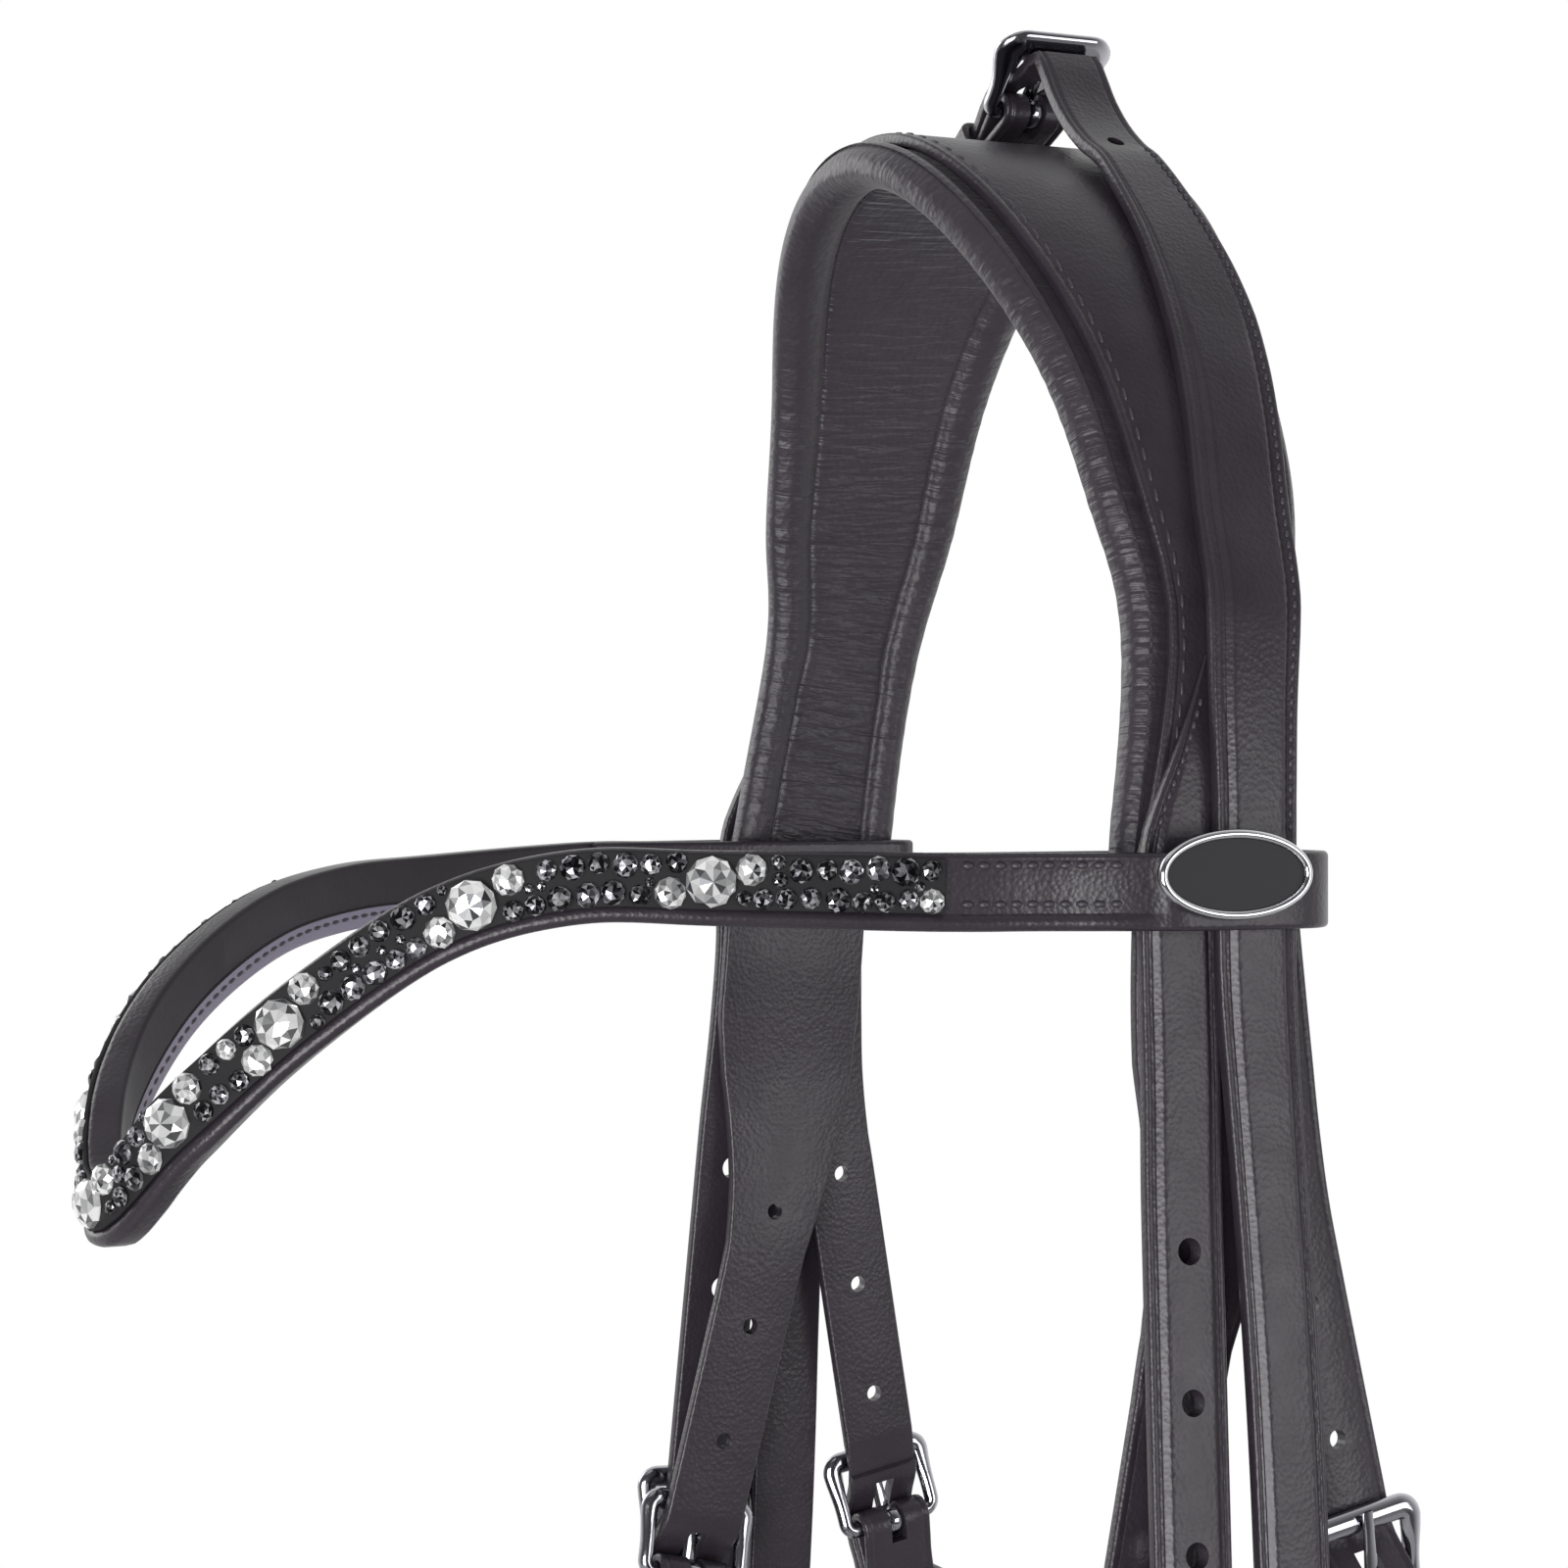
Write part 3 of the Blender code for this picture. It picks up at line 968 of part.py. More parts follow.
def stone_layout(length):
    """Return place, height and diameter of each stone, with the large ones set first."""
    middle = length / 2
    reach = CRYSTAL_STRIP_HEIGHT / 2
    steps = (-2.5, -1.5, -0.5, 0.5, 1.5, 2.5)
    spots = [(middle + LARGE_STONE_STEP * step, 0.0, LARGE_STONE) for step in steps]
    spots = [spot for spot in spots if LARGE_STONE / 2 < spot[0] < length - LARGE_STONE / 2]

    def try_add(place, height, size):
        clear = all(math.hypot(place - spot[0], height - spot[1]) > (size + spot[2]) / 2 + STONE_GAP
                    for spot in spots)
        if clear and size / 2 + STONE_GAP < place < length - size / 2 - STONE_GAP:
            spots.append((place, height, size))

    for centre in [spot[0] for spot in spots]:
        for side in (-1, 1):
            try_add(centre + side * 7.4 * MM, side * (reach - MID_STONE / 2 - 0.2 * MM), MID_STONE)
            try_add(centre + side * 13.2 * MM, -side * (reach - MID_STONE / 2 - 0.2 * MM), MID_STONE)
    for size in (MID_STONE, SMALL_STONE):
        for place in np.arange(size / 2, length, 1.2 * MM):
            for height in np.linspace(-1, 1, 3) * (reach - size / 2 - 0.2 * MM):
                try_add(float(place), float(height), size)
    return spots


def stone(strip, out, place, at, height, size):
    """Return the shell of one cut stone: a girdle, a sloping crown and a flat table."""
    index = int(np.clip(np.searchsorted(place, at), 1, len(place) - 1))
    share = (at - place[index - 1]) / (place[index] - place[index - 1])
    centre = strip[index - 1] * (1 - share) + strip[index] * share
    face = unit(out[index - 1] * (1 - share) + out[index] * share)
    up = unit(np.cross(face, strip[index] - strip[index - 1]))
    along = np.cross(up, face)
    turn = np.linspace(0, 2 * math.pi, STONE_SIDES, endpoint=False)[:, None]
    radius = size / 2
    base = CRYSTAL_STRIP_THICKNESS / 2 - 0.35 * MM
    levels = ((base, 0.94), (base + 0.45 * MM + size * 0.07, 1.0), (base + 0.45 * MM + size * 0.24, 0.55))
    spokes = radius * (np.cos(turn) * along + np.sin(turn) * up)
    rings = [centre + up * height + face * level + share * spokes for level, share in levels]
    return skin(np.stack(rings))


def badge(materials):
    """Add the bare oval plate on the near browband loop."""
    outer = (ARCH_HALF_SPAN + THIRD_LAYER + CARRIER_LEATHER + PANEL_RISE + LOOP_CLEAR + BROWBAND_LEATHER
             + CLEAR)
    turn = np.linspace(0, 2 * math.pi, 32, endpoint=False)
    rings = []
    for rise, share in ((0, 0.97), (0.35, 1.0), (0.9, 0.95), (1, 0.9), (0.7, 0.86)):
        level = np.full(len(turn), outer + rise * BADGE_THICKNESS)
        along = BADGE_Y + BADGE_WIDTH / 2 * share * np.cos(turn)
        up = BROW_Z + BADGE_LIFT + BADGE_HEIGHT / 2 * share * np.sin(turn)
        rings.append(np.stack([level, along, up], axis=1))
    add_object("badge", *skin(np.stack(rings)), materials["badge"])


def main():
    """Build the bridle."""
    for item in list(bpy.data.objects):
        bpy.data.objects.remove(item)
    materials = {
        "strap": make_material("bridle_leather", (0.030, 0.028, 0.031), 0.45),
        "lining": make_material("soft_lining_leather", (0.026, 0.023, 0.026), 0.6),
        "steel": make_material("polished_steel", (0.72, 0.72, 0.73), 0.15, 1.0),
        "crystal": make_material("cut_crystal", (0.25, 0.25, 0.27), 0.05),
        "badge": make_material("black_enamel_badge", (0.01, 0.01, 0.012), 0.2),
    }
    headpiece_leather(materials)
    poll_pad(materials)
    throat_billets(materials)
    throatlatch(materials)
    cheekpieces(materials)
    carriers(materials)
    front_hangers(materials)
    noseband(materials)
    browband(materials)


main()
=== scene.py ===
"""Looks of a black leather bridle: padded headpiece, over-poll carrier, crystal browband and straps.

Every piece is a section carried along a path, worked out with numpy in the CAD frame, in metres.
"""

import logging
import math
from collections.abc import Sequence
from dataclasses import dataclass, field, replace
from enum import Enum

import bmesh
import bpy
import numpy as np
from bpy.types import Material, Node, NodeSocket, NodeTree, Object, Scene
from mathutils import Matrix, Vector
from numpy.typing import ArrayLike, NDArray


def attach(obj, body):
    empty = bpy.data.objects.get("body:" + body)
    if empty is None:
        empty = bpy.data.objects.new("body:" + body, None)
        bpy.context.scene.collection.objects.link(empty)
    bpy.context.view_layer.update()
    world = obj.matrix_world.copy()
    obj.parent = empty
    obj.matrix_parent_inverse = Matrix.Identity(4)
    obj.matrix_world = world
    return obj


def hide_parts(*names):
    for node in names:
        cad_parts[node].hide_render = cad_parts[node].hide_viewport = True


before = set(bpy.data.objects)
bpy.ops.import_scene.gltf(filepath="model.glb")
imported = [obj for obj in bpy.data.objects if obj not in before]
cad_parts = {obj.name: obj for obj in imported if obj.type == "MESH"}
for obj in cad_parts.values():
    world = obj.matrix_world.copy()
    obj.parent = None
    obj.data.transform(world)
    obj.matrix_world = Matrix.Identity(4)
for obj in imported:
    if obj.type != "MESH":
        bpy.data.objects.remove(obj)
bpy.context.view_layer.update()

Array = NDArray[np.float64]
Shell = tuple[Array, list[list[int]]]
LOG = logging.getLogger("bridle")

MM = 0.001
CLEAR = 0.3 * MM
SIDEWAYS = np.array([0.0, 1.0, 0.0])
UPWARDS = np.array([0.0, 0.0, 1.0])
SHARP_ANGLE = 40.0
PLATE_ANGLE = 50.0
ROUND_ANGLE = 60.0
PAD_ANGLE = 70.0
THREAD_ANGLE = 180.0
TAIL_TAPER = 0.45
BLUNT_TAPER = 0.5
GOLDEN_ANGLE = 2.399
PAD_ROLL = ((0.9, 0), (0.55, 0), (0.12, -0.22), (0, -0.52), (0.1, -0.8), (0.6, -1), (1.15, -0.92))


class Side(Enum):
    """The horse's sides: near is its left, at +X; far is mirrored from it."""

    NEAR = 1
    FAR = -1

    @property
    def word(self) -> str:
        """Return the side's name in lower case."""
        return self.name.lower()

    @property
    def mirror(self) -> Array:
        """Return the factors that carry a near-side point to this side."""
        return np.array([float(self.value), 1.0, 1.0])


class StoneKind(Enum):
    """The colours of cut stone in the browband."""

    CLEAR = "clear"
    SMOKE = "smoke"
    HEMATITE = "hematite"
    JET = "jet"


def linear(colour: str) -> tuple[float, float, float, float]:
    """Return an sRGB colour, a hash and six hex digits, as linear RGBA."""
    parts = np.array([int(colour[start:start + 2], 16) for start in (1, 3, 5)]) / 255
    parts = np.where(parts <= 0.04045, parts / 12.92, ((parts + 0.055) / 1.055) ** 2.4)
    return (*(float(part) for part in parts), 1.0)


def feed(tree: NodeTree, node: Node, inputs: dict) -> None:
    """Fill a node's inputs, by name or number, with values or with links from sockets."""
    for name, value in inputs.items():
        if isinstance(value, NodeSocket):
            tree.links.new(value, node.inputs[name])
        else:
            node.inputs[name].default_value = value


def add_node(tree: NodeTree, kind: str, inputs: dict | None = None, **settings: object) -> Node:
    """Add one shader node, set its options and fill or link its inputs.

    Args:
        tree: the material's or world's tree.
        kind: the node's type name.
        inputs: input name or number to a value, or to the socket that feeds it.
        **settings: attributes of the node.

    Returns:
        The new node.
    """
    node = tree.nodes.new(kind)
    for name, value in settings.items():
        setattr(node, name, value)
    feed(tree, node, inputs or {})
    return node


def new_material(name: str) -> tuple[Material, NodeTree, Node]:
    """Return a new material with its node tree and its shader."""
    made = bpy.data.materials.new(name)
    made.use_nodes = True
    return made, made.node_tree, made.node_tree.nodes["Principled BSDF"]


def blend_colours(tree: NodeTree, share: NodeSocket, dark: str, light: str) -> NodeSocket:
    """Return the socket of a colour between two hex colours."""
    inputs = {"Factor": share, 6: linear(dark), 7: linear(light)}
    return add_node(tree, "ShaderNodeMix", inputs, data_type="RGBA").outputs[2]


def calculate(tree: NodeTree, operation: str, *values: NodeSocket | float) -> NodeSocket:
    """Return the socket of a sum on values or sockets."""
    return add_node(tree, "ShaderNodeMath", dict(enumerate(values)), operation=operation).outputs["Value"]


def add_noise(tree: NodeTree, place: NodeSocket, size: float, detail: float,
              distortion: float = 0.0) -> NodeSocket:
    """Return the socket of a noise whose lumps are about one size apart."""
    inputs = {"Vector": place, "Scale": 1 / size, "Detail": detail, "Distortion": distortion}
    return add_node(tree, "ShaderNodeTexNoise", inputs).outputs["Fac"]


def spread(tree: NodeTree, value: NodeSocket, low: float, high: float, start: float = 0.0,
           end: float = 1.0) -> NodeSocket:
    """Return the socket of a value carried from start and end to low and high."""
    inputs = {"Value": value, "From Min": start, "From Max": end, "To Min": low, "To Max": high}
    return add_node(tree, "ShaderNodeMapRange", inputs).outputs["Result"]


@dataclass(frozen=True)
class LeatherFinish:
    """Dyed cowhide: a fine pebbled grain whose sheen breaks up the highlights.

    Sizes are in metres; grain is about twice the real one, so that it shows. wrinkle is the spacing of folds
    across a soft lining: the piece's run attribute holds the place across, the one along and their strength.
    """

    name: str
    dark: str
    light: str
    roughness: float
    grain: float
    depth: float
    crease: float = 6 * MM
    sheen: float = 0.0
    wrinkle: float = 0.0
    wrinkle_share: float = 10.0
    wrinkle_stretch: float = 0.13
    tone: float = 9 * MM
    gloss_spread: float = 0.07

    def material(self) -> Material:
        """Return the leather's material."""
        made, tree, shader = new_material(self.name)
        place = add_node(tree, "ShaderNodeTexCoord").outputs["Object"]
        tone = add_noise(tree, place, self.tone, 3.0)
        pores = add_node(tree, "ShaderNodeTexVoronoi", {"Vector": place, "Scale": 1 / self.grain})
        folds = add_noise(tree, place, self.crease, 4.0)
        gloss = spread(tree, folds, self.roughness - self.gloss_spread, self.roughness + self.gloss_spread)
        relief = calculate(tree, "ADD", pores.outputs["Distance"], folds)
        if self.wrinkle:
            relief = self.wrinkled(tree, relief)
        bump = add_node(tree, "ShaderNodeBump", {"Height": relief, "Strength": 0.7, "Distance": self.depth})
        colour = blend_colours(tree, tone, self.dark, self.light)
        feed(tree, shader, {"Base Color": colour, "Roughness": gloss, "Normal": bump.outputs["Normal"],
                            "Sheen Weight": self.sheen, "Sheen Roughness": 0.4, "IOR": 1.5})
        return made

    def wrinkled(self, tree: NodeTree, relief: NodeSocket) -> NodeSocket:
        """Return a relief with folds added: drawn-out noise times the run's strength."""
        run = add_node(tree, "ShaderNodeAttribute", attribute_name="run").outputs["Vector"]
        strength = add_node(tree, "ShaderNodeSeparateXYZ", {0: run}).outputs["Z"]
        scale = (self.wrinkle_stretch / self.wrinkle, 1 / self.wrinkle, 0.0)
        place = add_node(tree, "ShaderNodeVectorMath", {0: run, 1: scale}, operation="MULTIPLY")
        noise = add_noise(tree, place.outputs["Vector"], 1.0, 2.5, 0.5)
        share = calculate(tree, "MULTIPLY", strength, self.wrinkle_share)
        lines = calculate(tree, "SUBTRACT", noise, 0.5)
        return calculate(tree, "MULTIPLY_ADD", lines, share, relief)


@dataclass(frozen=True)
class MetalFinish:
    """Polished stainless steel or plate: a clean mirror with faint polishing haze."""

    name: str
    colour: str
    roughness: float
    haze: float = 2 * MM
    haze_share: float = 0.3

    def material(self) -> Material:
        """Return the metal's material."""
        made, tree, shader = new_material(self.name)
        place = add_node(tree, "ShaderNodeTexCoord").outputs["Object"]
        haze = add_noise(tree, place, self.haze, 2.0)
        change = self.roughness * self.haze_share
        gloss = spread(tree, haze, self.roughness - change, self.roughness + change)
        feed(tree, shader, {"Base Color": linear(self.colour), "Metallic": 1.0, "Roughness": gloss})
        return made


@dataclass(frozen=True)
class StoneFinish:
    """Cut glass with a mirror foil behind it: each facet's colour lies between dark and light, a painted
    glint.

    The share is read from each face's random glint attribute: the stone's own dark at 0, a painted glint at
    1.
    """

    name: str
    dark: str
    light: str
    metallic: float
    roughness: float = 0.03

    def material(self) -> Material:
        """Return the stone's material."""
        made, tree, shader = new_material(self.name)
        painted_glint_share = add_node(tree, "ShaderNodeAttribute", attribute_name="painted_glint_facet").outputs["Fac"]
        feed(tree, shader, {"Base Color": blend_colours(tree, painted_glint_share, self.dark, self.light),
                            "Metallic": self.metallic, "Roughness": self.roughness})
        return made


@dataclass(frozen=True)
class PlainFinish:
    """A smooth, even surface, such as enamel, thread or a painted floor."""

    name: str
    colour: str
    roughness: float
    specular: float = 0.5

    def material(self) -> Material:
        """Return the plain material."""
        made, tree, shader = new_material(self.name)
        feed(tree, shader, {"Base Color": linear(self.colour), "Roughness": self.roughness,
                            "Specular IOR Level": self.specular})
        return made


Finish = LeatherFinish | MetalFinish | StoneFinish | PlainFinish


@dataclass
class Wardrobe:
    """All the bridle's finishes, each made into a material once."""

    strap: LeatherFinish = LeatherFinish(
        "waxed_bridle_leather", "#231e25", "#342e36", roughness=0.36, grain=0.8 * MM, depth=0.085 * MM)
    lining: LeatherFinish = LeatherFinish(
        "soft_lining_leather", "#2a252d", "#373139", roughness=0.44, grain=1.2 * MM, depth=0.16 * MM,
        crease=3.2 * MM, sheen=0.15, wrinkle=1.6 * MM)
    # Inner face of the browband: smooth leather; its darker tone is painted shade.
    inner: LeatherFinish = LeatherFinish(
        "smooth_inner_leather_painted_shade", "#211c23", "#2a242b", roughness=0.5, grain=0.9 * MM, depth=0.04 * MM)
    # Edge strip under the browband's inner face: real glossy edge leather, its light lavender colour a
    # painted highlight.
    edge_strip_painted_highlight: PlainFinish = PlainFinish("edge_leather_painted_highlight", "#8b8598", 0.25)
    backing: PlainFinish = PlainFinish("black_strip_backing", "#151316", 0.8)
    thread: PlainFinish = PlainFinish("black_waxed_thread", "#3c373f", 0.4)
    steel: MetalFinish = MetalFinish("polished_stainless_steel", "#b4b4ba", 0.12)
    rim: MetalFinish = MetalFinish("bright_silver_plate", "#d8d8dc", 0.1)
    enamel: PlainFinish = PlainFinish("black_badge_enamel", "#1d1b1f", 0.16, 0.12)
    floor: PlainFinish = PlainFinish("pale_studio_floor", "#ececec", 0.8)
    stones: dict[StoneKind, StoneFinish] = field(default_factory=lambda: {
        # Each stone's dark is its own colour; its light is a painted glint that random facets take.
        StoneKind.CLEAR: StoneFinish("clear_foiled_crystal", "#2c2e34", "#ffffff", 0.45),
        StoneKind.SMOKE: StoneFinish("smoky_foiled_crystal", "#232227", "#e4e3ea", 0.7),
        StoneKind.HEMATITE: StoneFinish("hematite_crystal", "#19181c", "#dddbe2", 0.8),
        StoneKind.JET: StoneFinish("jet_crystal", "#0e0d10", "#c4c2c8", 0.3, 0.05),
    })
    made: dict[str, Material] = field(default_factory=dict)

    def __call__(self, finish: Finish) -> Material:
        """Return the material of a finish, making it on first use."""
        if finish.name not in self.made:
            self.made[finish.name] = finish.material()
        return self.made[finish.name]


def unit(vectors: Array) -> Array:
    """Return vectors scaled to length one."""
    return vectors / np.linalg.norm(vectors, axis=-1, keepdims=True)


def circle(count: int) -> Array:
    """Return a full turn in equal steps, in radians."""
    return np.linspace(0, 2 * math.pi, count, endpoint=False)


def ease(at: ArrayLike, keys: Sequence[float], values: Sequence[float]) -> Array:
    """Return a curve through values at keys, with a smoothstep 3t^2 - 2t^3 between each two."""
    at, keys, values = (np.asarray(item, dtype=float) for item in (at, keys, values))
    index = np.clip(np.searchsorted(keys, at, side="right") - 1, 0, len(keys) - 2)
    share = np.clip((at - keys[index]) / (keys[index + 1] - keys[index]), 0, 1)
    return values[index] + (values[index + 1] - values[index]) * share * share * (3 - 2 * share)


def catmull_rom(before: Array, start: Array, end: Array, after: Array, t: Array) -> Array:
    """Return points at shares t of the Catmull-Rom curve from start to end."""
    bend = (end - before) * t + (2 * before - 5 * start + 4 * end - after) * t ** 2
    return start + (bend + (3 * start - before - 3 * end + after) * t ** 3) / 2


def arc_lengths(points: Array) -> Array:
    """Return each point's distance along the line through them."""
    return np.concatenate([[0], np.cumsum(np.linalg.norm(np.diff(points, axis=0), axis=1))])


def refine(points: Array, hints: Array, extras: Array, spacing: float) -> tuple[Array, Array, Array]:
    """Return a strap's centre line, width directions and other columns at finer stations.

    The centre line is a Catmull-Rom curve; hints and extras are blended linearly along it.

    Args:
        points: centre line, one point a row.
        hints: width direction at each point.
        extras: further values at each point, one column each.
        spacing: distance between the new stations.

    Returns:
        The finer points, hints and extras.
    """
    padded = np.vstack([2 * points[0] - points[1], points, 2 * points[-1] - points[-2]])
    counts = np.maximum(1, np.rint(np.linalg.norm(np.diff(points, axis=0), axis=1) / spacing)).astype(int)
    shares = np.concatenate([np.arange(count) / count for count in counts])
    place = np.append(np.repeat(np.arange(len(counts)), counts) + shares, len(counts))
    index = np.minimum(place.astype(int), len(counts) - 1)
    t = (place - index)[:, None]
    fine = catmull_rom(*(padded[index + shift] for shift in range(4)), t)
    blend = np.hstack([hints, extras])
    blend = blend[index] * (1 - t) + blend[index + 1] * t
    return fine, blend[:, :3], blend[:, 3:]


def spline(points: ArrayLike, spacing: float) -> Array:
    """Return points about one spacing apart on the Catmull-Rom curve through points."""
    points = np.asarray(points, dtype=float)
    return refine(points, points, points, spacing)[0]


def smooth(at: ArrayLike, keys: Sequence[float], values: Sequence[float]) -> Array:
    """Return a Catmull-Rom curve through values at keys, read at the given places."""
    line = spline(np.column_stack([keys, values]), 1 * MM)
    return np.interp(at, line[:, 0], line[:, 1])


def closed_curve(rows: Array, steps: int) -> Array:
    """Return rows of positions as closed Catmull-Rom curves, with steps to each position."""
    around = (np.roll(rows, shift, axis=1)[..., None] for shift in (1, 0, -1, -2))
    return catmull_rom(*around, np.arange(steps) / steps).reshape(len(rows), -1)


def read_at(place: Array, arc: Array, values: Array) -> Array:
    """Return values that are given at arc lengths, one row each, read at other places."""
    return np.stack([np.interp(place, arc, column) for column in np.atleast_2d(values.T)], axis=1)


def strap_axes(points: Array, hint: Array, closed: bool = False) -> tuple[Array, Array]:
    """Return each station's direction across the strap and out of its face.

    The run direction T is the mean of the two neighbouring steps; across is the hint squared to T, and out
    is T x across.

    Args:
        points: centre line.
        hint: width direction, one for all or one a station.
        closed: whether the line joins up with its start.

    Returns:
        The across and out directions.
    """
    if closed:
        points = np.vstack([points[-1:], points, points[:1]])
    runs = unit(np.diff(points, axis=0))
    along = runs[:-1] + runs[1:] if closed else np.vstack([runs[:1], runs[:-1] + runs[1:], runs[-1:]])
    along = unit(along)
    hint = np.broadcast_to(hint, along.shape)
    across = unit(hint - np.sum(hint * along, axis=1, keepdims=True) * along)
    return across, np.cross(along, across)


def skin(rings: Array, closed: bool = False) -> Shell:
    """Return the quad grid through rings of points, capped at both ends when it is open."""
    count, size = rings.shape[:2]
    ring = np.arange(count if closed else count - 1)[:, None]
    spot = np.arange(size)[None, :]
    after, beside = (ring + 1) % count, (spot + 1) % size
    corners = ((ring, spot), (after, spot), (after, beside), (ring, beside))
    faces = np.stack([row * size + column for row, column in corners], axis=-1).reshape(-1, 4).tolist()
    if not closed:
        faces += [list(range(size)), list(range((count - 1) * size, count * size))]
    return rings.reshape(-1, 3), faces


def sweep(points: Array, wide: Array, across: Array, high: Array, out: Array) -> Array:
    """Return rings of points: each station's outline laid along its across and out axes."""
    return points[:, None] + wide[..., None] * across[:, None] + high[..., None] * out[:, None]


def mirrored(shell: Shell) -> Shell:
    """Return a near-side shell on the far side."""
    return shell[0] * Side.FAR.mirror, shell[1]


def repeat_rows(*runs: tuple[Array, int]) -> Array:
    """Return rows of vectors, each given with how often it repeats."""
    return np.vstack([np.tile(vector, (count, 1)) for vector, count in runs])


def join(shells: Sequence[Shell]) -> Shell:
    """Return several shells as one list of vertices and faces."""
    starts = np.cumsum([0] + [len(shell[0]) for shell in shells[:-1]])
    faces = [[int(start) + index for index in face] for start, shell in zip(starts, shells)
             for face in shell[1]]
    return np.vstack([shell[0] for shell in shells]), faces


def add_piece(name: str, shell: Shell, material: Material, side: Side = Side.NEAR,
              crease: float | None = SHARP_ANGLE, run: Array | None = None) -> Object:
    """Add a closed mesh at the origin, with its faces turned outwards.

    Args:
        name: the object's name.
        shell: vertices and faces, for the near side.
        material: its finish.
        side: FAR mirrors the vertices in X.
        crease: angle in degrees past which an edge stays sharp; None leaves every face flat.
        run: places across and along the strap for its finish, one row a vertex.

    Returns:
        The object, linked to the scene.
    """
    mesh = bpy.data.meshes.new(name)
    mesh.from_pydata((shell[0] * side.mirror).tolist(), [], shell[1])
    shape = bmesh.new()
    shape.from_mesh(mesh)
    bmesh.ops.recalc_face_normals(shape, faces=shape.faces)
    if shape.calc_volume(signed=True) < 0:
        bmesh.ops.reverse_faces(shape, faces=shape.faces)
    shape.to_mesh(mesh)
    shape.free()
    if run is not None:
        mesh.attributes.new("run", "FLOAT_VECTOR", "POINT").data.foreach_set("vector", run.ravel())
    if crease is not None:
        mesh.shade_smooth()
        mesh.set_sharp_from_angle(angle=math.radians(crease))
    mesh.materials.append(material)
    item = bpy.data.objects.new(name, mesh)
    bpy.context.scene.collection.objects.link(item)
    return item


def punch(item: Object, shells: Sequence[Shell], side: Side = Side.NEAR) -> None:
    """Cut closed shells out of a piece with one exact Boolean, and keep the result as its mesh."""
    tool = add_piece(item.name + "_punch", join(shells), item.data.materials[0], side, None)
    cut = item.modifiers.new("punch", "BOOLEAN")
    cut.operation, cut.solver, cut.object = "DIFFERENCE", "EXACT", tool
    graph = bpy.context.evaluated_depsgraph_get()
    mesh = bpy.data.meshes.new_from_object(item.evaluated_get(graph))
    item.modifiers.clear()
    item.data = mesh
    mesh.shade_smooth()
    mesh.set_sharp_from_angle(angle=math.radians(SHARP_ANGLE))
    bpy.data.objects.remove(tool)


def settle(item: Object, body: str, slot: str, *nodes: str) -> Object:
    """Hang a piece on its CAD body and hide the CAD nodes that it stands for."""
    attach(item, body)
    if nodes:
        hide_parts(*nodes)
    LOG.info("%s: %d faces on %s", item.name, len(item.data.polygons), body)
    return item


def build_piece(name: str, shell: Shell, material: Material, body: str, slot: str, *nodes: str,
                side: Side = Side.NEAR, cuts: Sequence[Shell] = (), **form: object) -> Object:
    """Add a piece, cut it and hang it on its CAD body.

    Args:
        name: the object's name.
        shell: vertices and faces, for the near side.
        material: its finish.
        body: the CAD body that carries it.
        slot: the CAD material slot that it belongs to; not used.
        *nodes: the CAD nodes that it stands for.
        side: FAR mirrors the piece and its cuts in X.
        cuts: closed shells that are cut out of it.
        **form: the crease and run that add_piece takes.

    Returns:
        The finished piece.
    """
    item = add_piece(name, shell, material, side, **form)
    if cuts:
        punch(item, cuts, side)
    return settle(item, body, slot, *nodes)


def both_halves(across: Array, out: Array) -> tuple[Array, Array]:
    """Return half an outline with its mirror image after it, back from the last point."""
    return np.hstack([across, -across[:, ::-1]]), np.hstack([out, out[:, ::-1]])


def plain_outline(width: Array, thickness: Array, crease: float = 1.5 * MM, groove: float = 0.13 * MM,
                  radius: float = 0.6 * MM) -> tuple[Array, Array]:
    """Return a plain strap's outline: round edges, and a crease line pressed along each.

    From the middle of the outer face: flat, a V groove at crease from the edge, then a quarter circle to the
    side; the inner face has the quarter circle alone.

    Args:
        width: half widths.
        thickness: half thicknesses.
        crease: distance of the crease line from the edge.
        groove: its depth.
        radius: edge radius.

    Returns:
        Positions across and out, one row a station.
    """
    w, h = width[:, None], thickness[:, None]
    r = np.minimum(radius, h * 0.85)
    turn = np.radians([90, 67.5, 45, 22.5, 0])[None]
    line = w - np.minimum(crease, w * 0.4)
    lip = 0.32 * MM
    across = np.hstack([w * 0.05, line - lip, line, line + lip, w - r + r * np.cos(turn),
                        w - r + r * np.cos(turn[:, ::-1])])
    out = np.hstack([h, h, h - groove, h, h - r + r * np.sin(turn), -h + r - r * np.sin(turn[:, ::-1])])
    return both_halves(across, out)


